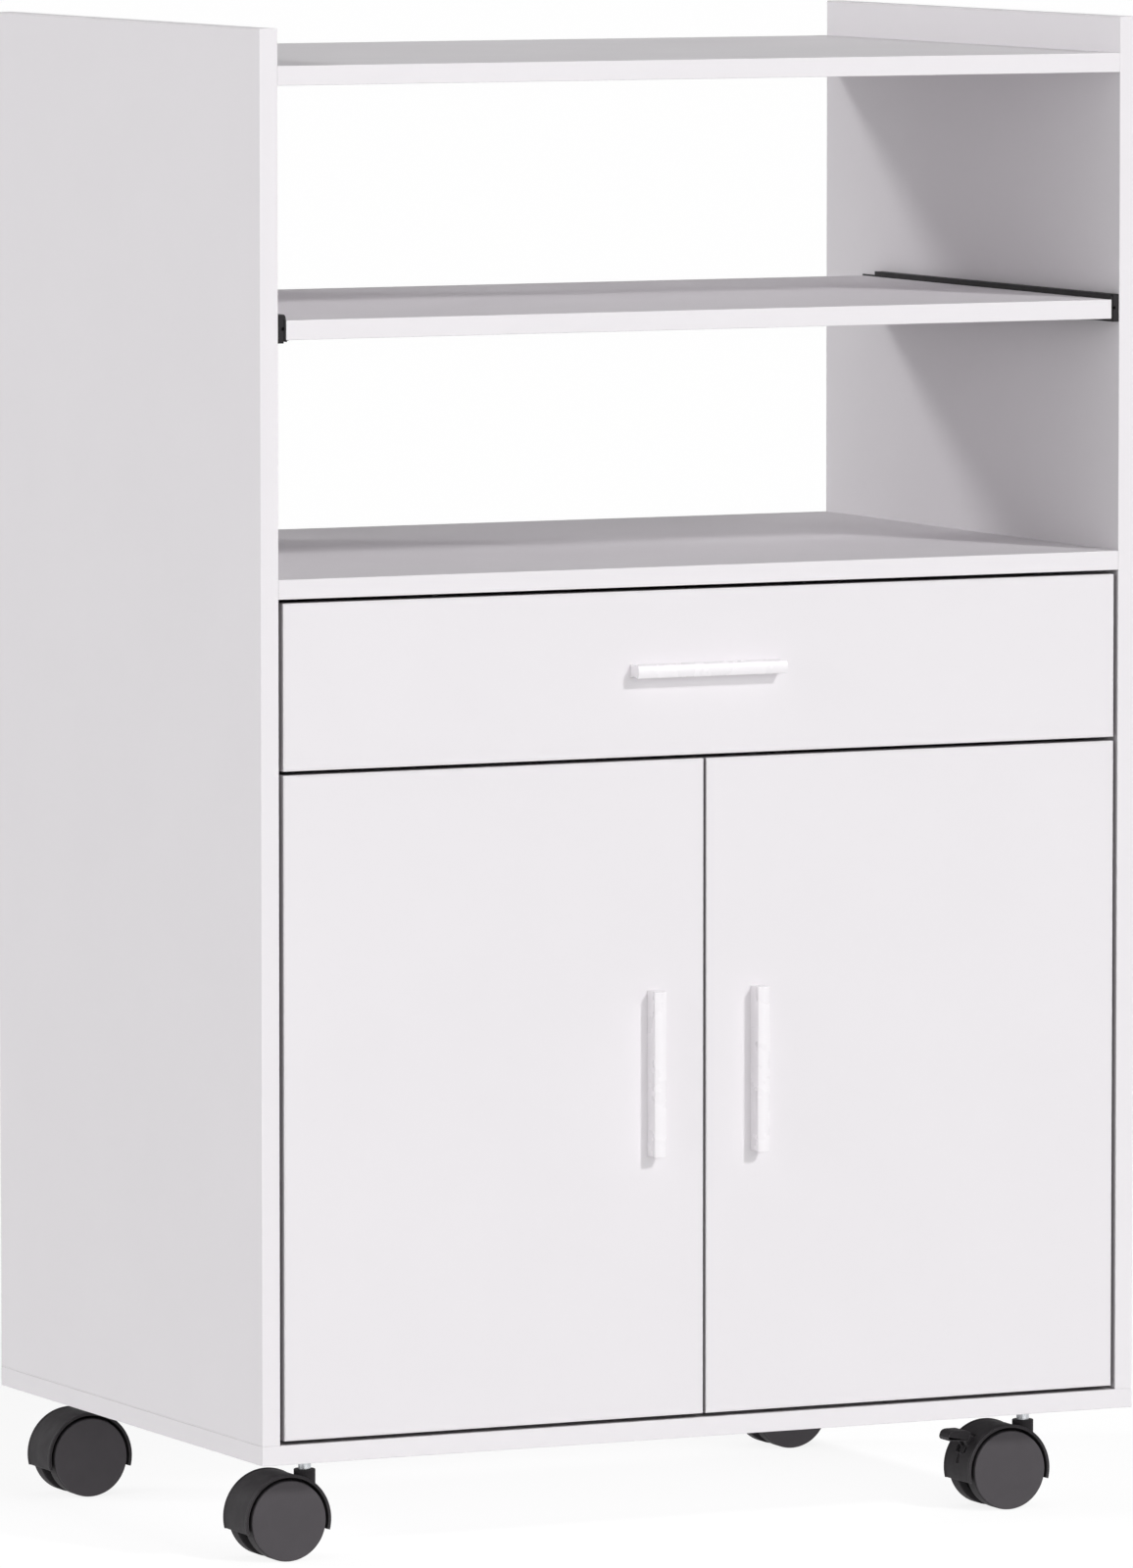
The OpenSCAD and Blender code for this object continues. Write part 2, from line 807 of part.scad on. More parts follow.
// Places of the rear corner screws on the right side, X into the drawer back
module drawer_corner_places() {
  for (rise = drawer_corner_rises)
    translate([carried_x, drawer_back_y + board_t / 2, drawer_zb + rise])
      mirror([1, 0, 0]) children();
}

module drawer_bottom_groove() {
  reach = carried_x - board_t + groove_depth;
  block([-reach, drawer_box_y - groove_depth, drawer_bottom_z - thin_clear],
    [reach, drawer_back_y + groove_depth, drawer_bottom_z + thin_t + thin_clear]);
}

module drawer_front() {
  color(white_board)
    difference() {
      board([-front_w / 2, front_y, drawer_front_z],
        [front_w / 2, front_y + board_t, drawer_front_z + drawer_front_h]);
      drawer_bottom_groove();
      both_sides()
        drawer_cam_places()
          translate([-cam_thread_len, 0, board_t / 2]) rod_x(cam_thread_r + snug, cam_thread_len + past);
      drawer_handle_place() handle_screw_holes();
    }
}

// Right drawer side
module drawer_side() {
  difference() {
    board([carried_x - board_t, drawer_box_y, drawer_zb],
      [carried_x, drawer_box_y + drawer_box_d, drawer_zb + drawer_side_h]);
    drawer_bottom_groove();
    drawer_cam_places() cam_cut();
    drawer_corner_places() corner_screw_hole();
    flange_screw_places(drawer_rail_y, drawer_zb) wood_screw_hole(flange_screw_len);
  }
}

module drawer_side_right() {
  color(white_board) drawer_side();
}

module drawer_side_left() {
  color(white_board) mirror([1, 0, 0]) drawer_side();
}

module drawer_back() {
  color(white_board)
    difference() {
      board([-carried_x + board_t, drawer_back_y, drawer_zb],
        [carried_x - board_t, drawer_back_y + board_t, drawer_zb + drawer_side_h]);
      drawer_bottom_groove();
      both_sides() drawer_corner_places() corner_screw_hole();
    }
}

module drawer_bottom() {
  reach = carried_x - board_t + groove_depth - thin_play;
  color(white_board)
    block([-reach, drawer_box_y - groove_depth + thin_play, drawer_bottom_z],
      [reach, drawer_back_y + groove_depth - thin_play, drawer_bottom_z + thin_t]);
}

// Cam bolts in the drawer front and their cams in the drawer sides
module drawer_cams() {
  color(zinc)
    both_sides()
      drawer_cam_places() {
        translate([0, 0, board_t / 2]) cam_bolt();
        translate([cam_reach, 0, 0]) cam_lock();
      }
}

// Flange screws of the drawer rails and the rear corner screws
module drawer_screws() {
  color(zinc)
    both_sides() {
      flange_screw_places(drawer_rail_y, drawer_zb) wood_screw(flange_screw_len);
      drawer_corner_places() corner_screw();
    }
}

module drawer_rails() {
  color(black_steel) both_sides() moving_rail(drawer_rail_y, drawer_zb);
}

module drawer_glides() {
  color(black_nylon) both_sides() moving_glide(drawer_rail_y, drawer_zb);
}

module drawer_handle_place() {
  translate([0, front_y, drawer_front_z + drawer_front_h / 2 + drawer_handle_rise]) children();
}

module drawer_handle() {
  color(white_plastic) drawer_handle_place() handle_bar();
}

module drawer_handle_screws() {
  color(zinc) drawer_handle_place() handle_screws();
}

// ---------------------------------------------------------------- doors and hinges

// Lower outer front corner of the left door; the right door is its mirror image
module left_door_place() {
  translate([-inner_x + side_gap, front_y, door_z]) children();
}

module right_door_place() {
  mirror([1, 0, 0]) left_door_place() children();
}

module hinge_places() {
  for (rise = hinge_rises)
    translate([0, 0, rise]) children();
}

// Door board with the recesses of its hinge cups and the holes of its handle
module door_board() {
  difference() {
    board([0, 0, 0], [door_w, board_t, door_h]);
    hinge_places() {
      translate([cup_x, cup_skin, 0]) rotate([-90, 0, 0]) cylinder(r = cup_r + snug, h = board_t);
      cup_peg_places() rotate([-90, 0, 0]) cylinder(r = cup_peg_r + snug, h = board_t);
    }
    door_handle_place() handle_screw_holes();
  }
}

// Inner ends of the two pressed pegs of a hinge cup
module cup_peg_places() {
  for (side = [-1, 1])
    translate([cup_x, board_t - cup_peg_len, side * (cup_r + cup_peg_from_cup)]) children();
}

// Hinge cup with its flange on the back of the door and its two pegs in the board
module hinge_cup() {
  flange_half = cup_r + cup_peg_from_cup + cup_peg_r + cup_flange_end;
  difference() {
    union() {
      translate([cup_x, cup_skin + snug, 0]) rotate([-90, 0, 0])
        cylinder(r = cup_r, h = board_t - cup_skin - snug + cup_flange_t);
      block([cup_x - cup_flange_w / 2, board_t, -flange_half],
        [cup_x + cup_flange_w / 2, board_t + cup_flange_t, flange_half]);
      cup_peg_places() rotate([-90, 0, 0]) cylinder(r = cup_peg_r, h = cup_peg_len + cup_flange_t / 2);
    }
    translate([cup_x, cup_skin + cup_wall, 0]) rotate([-90, 0, 0])
      cylinder(r = cup_r - cup_wall, h = board_t);
    translate([pin_from_edge, pin_from_face, 0]) cylinder(d = pin_d + snug, h = cup_d, center = true);
  }
}

module hinge_pin() {
  translate([pin_from_edge, pin_from_face, 0]) cylinder(d = pin_d, h = 2 * pin_half, center = true);
}

// Hinge arm: an eye on the pin, a leg out of the cup, a bar to the side panel and a plate
module hinge_arm() {
  half_t = arm_t / 2;
  plate_half = arm_w / 2 + plate_margin;
  difference() {
    union() {
      linear_extrude(arm_w, center = true)
        difference() {
          union() {
            translate([pin_from_edge, pin_from_face]) circle(r = eye_r);
            translate([pin_from_edge, pin_from_face - half_t])
              square([leg_x + half_t - pin_from_edge, arm_t]);
            translate([leg_x - half_t, pin_from_face - half_t])
              square([arm_t, arm_y - pin_from_face + arm_t]);
            translate([-side_gap, arm_y - half_t]) square([leg_x + half_t + side_gap, arm_t]);
          }
          translate([pin_from_edge, pin_from_face]) circle(r = pin_d / 2 + run_clear);
        }
      block([-side_gap, arm_y - half_t, -plate_half],
        [-side_gap + plate_t, arm_y + plate_len, plate_half]);
    }
    plate_screw_places() wood_screw_hole();
  }
}

// Places of the two screws of a mounting plate, X into the side panel
module plate_screw_places() {
  for (offset = plate_screw_offsets)
    translate([-side_gap + plate_t, arm_y + offset, 0]) mirror([1, 0, 0]) children();
}

// Middle of the upright handle near the door's inner edge
module door_handle_place() {
  translate([door_w - handle_from_edge, 0, door_h / 2 + handle_rise])
    rotate([0, -90, 0]) children();
}

module hinge_arms_left() {
  color(zinc) left_door_place() hinge_places() hinge_arm();
}

module hinge_arms_right() {
  color(zinc) right_door_place() hinge_places() hinge_arm();
}

module door_left() {
  color(white_board) left_door_place() door_board();
}

module door_right() {
  color(white_board) right_door_place() door_board();
}

module door_handle_left() {
  color(white_plastic) left_door_place() door_handle_place() handle_bar();
}

module door_handle_right() {
  color(white_plastic) right_door_place() door_handle_place() handle_bar();
}

module door_handle_screws_left() {
  color(zinc) left_door_place() door_handle_place() handle_screws();
}

module door_handle_screws_right() {
  color(zinc) right_door_place() door_handle_place() handle_screws();
}

module hinge_cups_left() {
  color(zinc) left_door_place() hinge_places() hinge_cup();
}

module hinge_cups_right() {
  color(zinc) right_door_place() hinge_places() hinge_cup();
}

module hinge_pins_left() {
  color(zinc) left_door_place() hinge_places() hinge_pin();
}

module hinge_pins_right() {
  color(zinc) right_door_place() hinge_places() hinge_pin();
}

// ---------------------------------------------------------------- casters

module stem_sleeves() {
  color(zinc)
    caster_places()
      difference() {
        union() {
          translate([0, 0, caster_h]) cylinder(r = sleeve_r, h = board_t - sleeve_short);
          translate([0, 0, caster_h - sleeve_flange_t])
            cylinder(r = sleeve_flange_r, h = sleeve_flange_t);
        }
        translate([0, 0, caster_h - sleeve_flange_t - past])
          cylinder(d = stem_d + 2 * snug, h = board_t + 2 * past + sleeve_flange_t);
      }
}

// Stems, screwed into the sleeves up to their hexagon collars
module caster_stems() {
  collar_z = caster_h - sleeve_flange_t - collar_t;
  color(zinc)
    caster_places() {
      translate([0, 0, stem_bottom]) cylinder(d = stem_d, h = stem_top - stem_bottom);
      translate([0, 0, collar_z]) cylinder(d = collar_af / cos(30), h = collar_t, $fn = 6);
    }
}

// Front of the axle of a caster whose stem is at the origin: the wheels trail to the left
module axle_place() {
  translate([-trail, 0, wheel_r]) children();
}

// Ring around the axle, with the rounded rims of the hood
module hood_ring() {
  half = caster_w / 2;
  c = hood_rim_round;
  rotate([90, 0, 0])
    rotate_extrude()
      polygon([[hood_in_r, -half], [hood_r - c, -half], [hood_r, -half + c],
        [hood_r, half - c], [hood_r - c, half], [hood_in_r, half]]);
}

// Part of the space around the axle that the hood fills: all above the two lower edges
module hood_space(drop_stem, drop_tail) {
  block([-2 * hood_r, -caster_w, -drop_tail], [0, caster_w, 2 * hood_r]);
  block([-past, -caster_w, -drop_stem], [2 * hood_r, caster_w, 2 * hood_r]);
}

// Hood with the web between the wheels, the axle hub and the stem socket
module hood(brake) {
  difference() {
    union() {
      axle_place()
        intersection() {
          union() {
            hood_ring();
            rod_y(hood_in_r + hood_wall / 2, hood_web_t);
          }
          hood_space(hood_drop_stem, hood_drop_tail);
        }
      axle_place() rod_y(hood_hub_r, 2 * (wheel_in_y - hood_hub_gap));
      translate([0, 0, socket_bottom]) cylinder(r = socket_r, h = socket_top - socket_bottom);
      if (brake)
        axle_place() translate([pivot_x, 0, pivot_z])
          rod_y(boss_r, 2 * fork_out_y);
    }
    axle_place() rod_y(axle_r + snug / 2, caster_w);
    translate([0, 0, socket_bottom - past])
      cylinder(d = stem_d + 2 * run_clear, h = socket_top - socket_bottom + 2 * past);
    if (brake)
      axle_place() brake_windows();
  }
}

// Window for the lever's fork and the small window below it
module brake_windows() {
  half = fork_out_y + window_clear;
  intersection() {
    block([-hood_r, -half, fork_window_low], [-fork_window_side, half, hood_r]);
    difference() {
      rod_y(hood_r + past, caster_w);
      rod_y(hood_in_r - window_clear, caster_w + past);
    }
  }
  block([-hood_r - past, -window_w / 2, window_z - window_h / 2],
    [-hood_in_r + window_clear, window_w / 2, window_z + window_h / 2]);
}

module axle() {
  axle_place() rod_y(axle_r, 2 * axle_half);
}

// Wheel in front of the web, with a blind axle bore, a hollow inner face and a domed disc
module wheel() {
  c = wheel_edge;
  steps = 8;
  disc_r = wheel_r - c;
  edge_y = wheel_w - wheel_dome;
  bore_r = axle_r + run_clear;
  bore_y = axle_half - wheel_in_y + axle_end_gap;
  dome = [for (i = [0:steps])
    let (r = disc_r * (1 - i / steps))
    [r, wheel_w - wheel_dome * pow(r / disc_r, 2)]];
  inner = [[0, bore_y], [bore_r, bore_y], [bore_r, 0], [hub_r, 0], [hub_r, wheel_pocket],
    [wheel_r - wheel_rim_t, wheel_pocket], [wheel_r - wheel_rim_t, 0],
    [wheel_r - c, 0], [wheel_r, c], [wheel_r, edge_y - c]];
  translate([0, -wheel_in_y, 0])
    rotate([90, 0, 0]) rotate_extrude() polygon(concat(inner, dome));
}

module front_wheel() {
  axle_place() wheel();
}

module rear_wheel() {
  axle_place() mirror([0, 1, 0]) wheel();
}

// Brake lever: a pedal outside the hood, a fork on the hood's bosses and a shoe at each wheel
module brake_lever() {
  axle_place() {
    for (side = [-1, 1])
      translate([0, side * (fork_in_y + fork_t / 2), 0])
        difference() {
          union() {
            translate([pivot_x, 0, pivot_z]) {
              rod_y(lever_eye_r, fork_t);
              rotate([0, fork_angle, 0])
                block([-fork_len, -fork_t / 2, -fork_h / 2], [0, fork_t / 2, fork_h / 2]);
            }
            translate([shoe_x, 0, shoe_z]) rod_y(shoe_r, fork_t);
            translate([shoe_x, side * (fork_t + shoe_len) / 2, shoe_z]) rod_y(shoe_r, shoe_len + snug);
          }
          translate([pivot_x, 0, pivot_z]) rod_y(boss_r + run_clear, fork_t + past);
        }
    translate([0, pedal_w / 2, 0])
      rotate([90, 0, 0]) linear_extrude(pedal_w)
        polygon([[pedal_x + pedal_heel, pedal_low], [pedal_x - pedal_len + pedal_nose, pedal_low],
          [pedal_x - pedal_len, pedal_low + pedal_nose],
          [pedal_x - pedal_len + pedal_nose, pedal_low + pedal_t],
          [pedal_x + pedal_crest, pedal_low + pedal_t + pedal_crest_rise]]);
  }
}

// Stem place of one caster: side and row are -1 or 1
module at_caster(side, row) {
  translate([side * stem_x, row < 0 ? stem_front_y : stem_back_y, 0]) children();
}

module caster_hood(side, row) {
  color(black_nylon) at_caster(side, row) hood(side > 0);
}

module caster_axle(side, row) {
  color(zinc) at_caster(side, row) axle();
}

module caster_wheel_a(side, row) {
  color(grey_nylon) at_caster(side, row) front_wheel();
}

module caster_wheel_b(side, row) {
  color(grey_nylon) at_caster(side, row) rear_wheel();
}

module caster_brake(side, row) {
  color(black_nylon) at_caster(side, row) brake_lever();
}

// ---------------------------------------------------------------- nodes

side_panel_left();
side_panel_right();
top_shelf();
fixed_shelf();
bottom_panel();
back_panel();
cam_bolts();
cam_locks();
wood_dowels();
base_screws();
hardware_screws();
cabinet_rails();
cabinet_glides();
hinge_arms_left();
hinge_arms_right();
caster_stems();
stem_sleeves();
slide_shelf();
shelf_rails();
shelf_glides();
shelf_screws();
drawer_front();
drawer_side_left();
drawer_side_right();
drawer_back();
drawer_bottom();
drawer_cams();
drawer_screws();
drawer_rails();
drawer_glides();
drawer_handle();
drawer_handle_screws();
door_left();
door_handle_left();
door_handle_screws_left();
hinge_cups_left();
hinge_pins_left();
door_right();
door_handle_right();
door_handle_screws_right();
hinge_cups_right();
hinge_pins_right();
caster_hood(-1, -1);  // hood_front_left
caster_axle(-1, -1);  // axle_front_left
caster_wheel_a(-1, -1);  // wheel_front_left_a
caster_wheel_b(-1, -1);  // wheel_front_left_b
caster_hood(1, -1);  // hood_front_right
caster_axle(1, -1);  // axle_front_right
caster_wheel_a(1, -1);  // wheel_front_right_a
caster_wheel_b(1, -1);  // wheel_front_right_b
caster_hood(-1, 1);  // hood_back_left
caster_axle(-1, 1);  // axle_back_left
caster_wheel_a(-1, 1);  // wheel_back_left_a
caster_wheel_b(-1, 1);  // wheel_back_left_b
caster_hood(1, 1);  // hood_back_right
caster_axle(1, 1);  // axle_back_right
caster_wheel_a(1, 1);  // wheel_back_right_a
caster_wheel_b(1, 1);  // wheel_back_right_b
caster_brake(1, -1);  // brake_front_right
caster_brake(1, 1);  // brake_back_right
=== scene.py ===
"""Looks of a white microwave cart on black casters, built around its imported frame."""

import logging
import math
from dataclasses import dataclass, field
from enum import Enum

import bmesh
import bpy
from mathutils import Matrix, Vector


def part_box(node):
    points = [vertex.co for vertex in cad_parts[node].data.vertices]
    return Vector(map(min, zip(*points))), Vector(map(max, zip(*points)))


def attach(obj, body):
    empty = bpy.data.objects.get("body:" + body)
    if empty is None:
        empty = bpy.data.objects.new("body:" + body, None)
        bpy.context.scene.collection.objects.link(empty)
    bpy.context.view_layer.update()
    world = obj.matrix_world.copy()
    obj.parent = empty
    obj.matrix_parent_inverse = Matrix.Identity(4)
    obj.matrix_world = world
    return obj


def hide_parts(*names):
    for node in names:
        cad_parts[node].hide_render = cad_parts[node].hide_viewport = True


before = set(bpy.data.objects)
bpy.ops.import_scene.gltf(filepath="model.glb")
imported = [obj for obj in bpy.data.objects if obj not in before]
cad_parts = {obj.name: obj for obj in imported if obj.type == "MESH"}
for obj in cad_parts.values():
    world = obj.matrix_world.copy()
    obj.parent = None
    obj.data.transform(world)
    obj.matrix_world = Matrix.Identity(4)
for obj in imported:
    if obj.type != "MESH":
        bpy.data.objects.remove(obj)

log = logging.getLogger("cart")
MM = 0.001
Tree, Socket = bpy.types.NodeTree, bpy.types.NodeSocket
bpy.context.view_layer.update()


# ---------------------------------------------------------------- colour and nodes


def linear(colour: str) -> tuple[float, float, float, float]:
    """Turns an sRGB hex colour to linear.

    Args:
        colour: six hex digits after a hash sign.

    Returns:
        Red, green, blue and an alpha of 1.
    """
    parts = [int(colour[i : i + 2], 16) / 255 for i in (1, 3, 5)]
    red, green, blue = [
        c / 12.92 if c <= 0.04045 else ((c + 0.055) / 1.055) ** 2.4 for c in parts
    ]
    return red, green, blue, 1.0


def add(
    tree: Tree, kind: str, settings: dict | None = None, links: dict | None = None,
) -> bpy.types.Node:
    """Adds a node with its settings and links.

    Args:
        tree: the node tree that gets the node.
        kind: the node's type, without the word ShaderNode where it is one.
        settings: values by the name of a property or the name or number of a socket.
        links: output sockets by the name or number of the input that they feed.

    Returns:
        The new node.
    """
    node = tree.nodes.new(kind if kind.startswith("Geometry") else "ShaderNode" + kind)
    for key, value in (settings or {}).items():
        if isinstance(key, str) and hasattr(node, key):
            setattr(node, key, value)
        else:
            node.inputs[key].default_value = value
    for key, source in (links or {}).items():
        tree.links.new(source, node.inputs[key])
    return node


# ---------------------------------------------------------------- finishes


@dataclass(frozen=True)
class Finish:
    """A surface: what it is made of and how it was made.

    The colour shifts softly over shade_mm, the relief has bumps of grain_mm in size and
    relief_mm in depth, and edges narrower than wear_and_highlight_mm take the edge colour:
    wear, and on the hood nylon mostly a painted highlight where the rims catch the light. Where
    joint_mm is set, joints narrower than about half of it are shaded by an occlusion
    mask. That is painted shade and no real colour of the board: the photograph's joints
    are darker than the lamps leave them.
    """

    name: str
    slot: str
    colour: str
    shade: str
    # Edge colour: wear, and on the hood nylon a painted highlight on the rims.
    worn_and_highlight: str
    roughness: float
    ior: float = 1.5
    metallic: float = 0.0
    specular: float = 0.5
    shade_mm: float = 60.0
    grain_mm: float = 1.2
    relief_mm: float = 0.01
    wear_and_highlight_mm: float = 0.5
    wear_and_highlight: float = 0.5
    patch_mm: float = 6.0
    uneven: float = 0.06
    joint_mm: float = 0.0
    joint_shade: str = "#8F8B8D"

    def material(self) -> bpy.types.Material:
        """Returns the finish's material, made at its first use."""
        found = bpy.data.materials.get(self.name)
        if found:
            return found
        made = bpy.data.materials.new(self.name)
        made.use_nodes = True
        tree = made.node_tree
        tree.nodes.clear()
        surface = add(
            tree, "BsdfPrincipled",
            {
                "IOR": self.ior, "Metallic": self.metallic,
                "Specular IOR Level": self.specular,
            },
        )
        add(tree, "OutputMaterial", links={"Surface": surface.outputs["BSDF"]})
        place = add(tree, "TexCoord").outputs["Object"]
        colour, rough, height = self.pattern(tree, place)
        bump = add(
            tree, "Bump", {"Strength": 1.0, "Distance": self.relief_mm * MM},
            {"Height": height},
        )
        for name, source in (
            ("Base Color", colour), ("Roughness", rough),
            ("Normal", bump.outputs["Normal"]),
        ):
            tree.links.new(source, surface.inputs[name])
        return made

    def pattern(self, tree: Tree, place: Socket) -> tuple[Socket, Socket, Socket]:
        """Adds the nodes of the surface's pattern.

        Args:
            tree: the material's node tree.
            place: the object coordinates, in metres.

        Returns:
            The colour, the roughness and the height of the relief.
        """
        clouds = add(
            tree, "TexNoise",
            {"Scale": 1 / (self.shade_mm * MM), "Detail": 4.0, "Roughness": 0.6},
            {"Vector": place},
        ).outputs["Fac"]
        grain = self.grain(tree, place)
        tint = add(
            tree, "Mix",
            {"data_type": "RGBA", 6: linear(self.colour), 7: linear(self.shade)},
            {0: clouds},
        ).outputs[2]
        if self.joint_mm:
            tint = self.joints(tree, tint)
        # Edges take the edge colour: wear, and on the hood nylon a painted highlight on the
        # rims.
        edge = self.edges(tree, place)
        colour = add(
            tree, "Mix", {"data_type": "RGBA", 7: linear(self.worn_and_highlight)},
            {0: edge, 6: tint},
        ).outputs[2]
        spread = add(
            tree, "MapRange",
            {
                "From Min": 0.3, "From Max": 0.7,
                "To Min": self.roughness - self.uneven,
                "To Max": self.roughness + self.uneven,
            }, {"Value": clouds},
        ).outputs["Result"]
        return colour, spread, grain

    def joints(self, tree: Tree, tint: Socket) -> Socket:
        """Adds the painted shade in narrow joints and returns the shaded colour."""
        openness = add(
            tree, "AmbientOcclusion", {"samples": 8, "Distance": self.joint_mm * MM}
        )
        mask = add(
            tree, "MapRange",
            {"From Min": 0.1, "From Max": 0.4, "To Min": 1.0, "To Max": 0.0},
            {"Value": openness.outputs["AO"]},
        )
        return add(
            tree, "Mix", {"data_type": "RGBA", 7: linear(self.joint_shade)},
            {0: mask.outputs["Result"], 6: tint},
        ).outputs[2]

    def grain(self, tree: Tree, place: Socket) -> Socket:
        """Adds the fine relief of the surface and returns its height."""
        return add(
            tree, "TexNoise", {"Scale": 1 / (self.grain_mm * MM), "Detail": 2.0},
            {"Vector": place},
        ).outputs["Fac"]

    def edges(self, tree: Tree, place: Socket) -> Socket:
        """Adds a mask of the edges that hands and tools rub, broken up by a noise; on the hood
        nylon it paints a highlight on the rims.

        Args:
            tree: the material's node tree.
            place: the object coordinates, in metres.

        Returns:
            The mask, 0 on flat faces and up to the finish's wear on edges.
        """
        rounded = add(tree, "Bevel", {"samples": 4, "Radius": self.wear_and_highlight_mm * MM})
        true = add(tree, "NewGeometry")
        likeness = add(
            tree, "VectorMath", {"operation": "DOT_PRODUCT"},
            {0: rounded.outputs["Normal"], 1: true.outputs["Normal"]},
        )
        mask = add(
            tree, "MapRange",
            {"From Min": 0.995, "From Max": 0.9, "To Min": 0.0, "To Max": self.wear_and_highlight},
            {"Value": likeness.outputs["Value"]},
        )
        patches = add(
            tree, "TexNoise", {"Scale": 1 / (self.patch_mm * MM), "Detail": 3.0},
            {"Vector": place},
        )
        return add(
            tree, "Math", {"operation": "MULTIPLY", "use_clamp": True},
            {0: mask.outputs["Result"], 1: patches.outputs["Fac"]},
        ).outputs[0]


@dataclass(frozen=True)
class Pressed(Finish):
    """Resin film pressed on board: flat, with a faint orange peel and a finer grain."""

    peel_mm: float = 5.0

    def grain(self, tree: Tree, place: Socket) -> Socket:
        """Adds the wide orange peel to the fine grain of the press plate."""
        fine = super().grain(tree, place)
        peel = add(
            tree, "TexNoise", {"Scale": 1 / (self.peel_mm * MM), "Detail": 1.0},
            {"Vector": place},
        )
        return add(
            tree, "Math", {"operation": "MULTIPLY_ADD", 1: 2.5},
            {0: peel.outputs["Fac"], 2: fine},
        ).outputs[0]


@dataclass(frozen=True)
class Moulded(Finish):
    """Injection-moulded plastic with the spark-eroded grain of its mould."""

    pit_mm: float = 0.45

    def grain(self, tree: Tree, place: Socket) -> Socket:
        """Adds the pits of the eroded mould to the soft sink of the plastic."""
        soft = super().grain(tree, place)
        pits = add(
            tree, "TexVoronoi",
            {"Scale": 1 / (self.pit_mm * MM), "feature": "SMOOTH_F1"},
            {"Vector": place},
        )
        return add(
            tree, "Math", {"operation": "MULTIPLY_ADD", 1: 0.6},
            {0: pits.outputs["Distance"], 2: soft},
        ).outputs[0]


@dataclass(frozen=True)
class Rolled(Finish):
    """Drawn or rolled steel: fine lines along the work, under its coating."""

    line_mm: float = 0.25
    along: tuple[float, float, float] = (1.0, 0.04, 1.0)

    def grain(self, tree: Tree, place: Socket) -> Socket:
        """Adds the lines, long in the direction in which the steel was worked."""
        drawn = add(tree, "Mapping", {"Scale": self.along}, {"Vector": place})
        lines = add(
            tree, "TexNoise", {"Scale": 1 / (self.line_mm * MM), "Detail": 2.0},
            {"Vector": drawn.outputs["Vector"]},
        )
        return lines.outputs["Fac"]


@dataclass(frozen=True)
class Turned(Finish):
    """Turned beech: pale, with fine straight grain along the dowel and flecks."""

    fleck_mm: float = 0.7

    def grain(self, tree: Tree, place: Socket) -> Socket:
        """Adds the grain along the dowel, which lies along X."""
        drawn = add(tree, "Mapping", {"Scale": (0.06, 1.0, 1.0)}, {"Vector": place})
        return add(
            tree, "TexNoise", {"Scale": 1 / (self.fleck_mm * MM), "Detail": 3.0},
            {"Vector": drawn.outputs["Vector"]},
        ).outputs["Fac"]


# White melamine paper pressed on chipboard: an even, cool white with a soft shine.
# The real grain is about 0.1 mm, too fine to show, so it is drawn at 0.9 mm.
MELAMINE = Pressed(
    "melamine_faced_chipboard_white", "board", colour="#EBE8EB", shade="#E8E5E8",
    worn_and_highlight="#DEDAD9", roughness=0.6, specular=0.05, shade_mm=90.0, grain_mm=0.9,
    relief_mm=0.012, wear_and_highlight_mm=0.4, wear_and_highlight=0.5, joint_mm=8.0,
)
# Extruded ABS strip glued on the board's edges: a little brighter and glossier.
EDGE_BAND = Pressed(
    "abs_edge_band_white", "board", colour="#ECE9EC", shade="#E9E6E9", worn_and_highlight="#E0DDDD",
    roughness=0.5, specular=0.08, shade_mm=30.0, grain_mm=0.7, relief_mm=0.008,
    wear_and_highlight_mm=0.4, wear_and_highlight=0.4, peel_mm=3.0, joint_mm=8.0,
)
# White foil rolled on hardboard: duller than melamine, the fibre faintly showing.
FOILED_HARDBOARD = Pressed(
    "foil_faced_hardboard_white", "thin_board", colour="#E7E4E6", shade="#E1DEDF",
    worn_and_highlight="#C8BDAE", roughness=0.52, specular=0.1, shade_mm=25.0, grain_mm=1.1,
    relief_mm=0.02, wear_and_highlight_mm=0.3, wear_and_highlight=0.5, peel_mm=7.0,
)
# Powder-coated bar handle: the brightest white on the cart, smooth and glossy.
ENAMELLED_HANDLE = Moulded(
    "powder_coated_handle_white", "handle_plastic", colour="#F6F3F6", shade="#F2EFF2",
    worn_and_highlight="#ECE9E9", roughness=0.28, specular=0.45, shade_mm=20.0, grain_mm=2.5,
    relief_mm=0.01, wear_and_highlight_mm=0.4, wear_and_highlight=0.35, pit_mm=0.8,
)
# Roll-formed runner steel in black powder coat: satin, greyer where the glides rub.
COATED_RUNNER = Rolled(
    "roll_formed_steel_black_powder_coat", "rail_steel", colour="#222022",
    shade="#1C1A1C", worn_and_highlight="#3C3A3C", roughness=0.42, specular=0.14, shade_mm=14.0,
    relief_mm=0.006, wear_and_highlight_mm=0.4, wear_and_highlight=0.6,
)
# Moulded nylon glides and rail caps: matt black with a dusty bloom.
GLIDE_NYLON = Moulded(
    "moulded_nylon_glide_black", "glide_nylon", colour="#262426", shade="#2A282A",
    worn_and_highlight="#3E3C3E", roughness=0.5, ior=1.53, specular=0.12, shade_mm=6.0, grain_mm=1.0,
    relief_mm=0.012,
)
# Moulded nylon hoods and brake levers: eroded black, with a painted highlight in the lighter
# edge colour on the rims, where they catch the light.
HOOD_NYLON = Moulded(
    "moulded_nylon_hood_black", "hood_nylon", colour="#3A383A", shade="#343234",
    worn_and_highlight="#6C6A6C", roughness=0.5, ior=1.53, specular=0.06, shade_mm=9.0, grain_mm=1.1,
    relief_mm=0.014, wear_and_highlight_mm=0.8, wear_and_highlight=1.0,
)
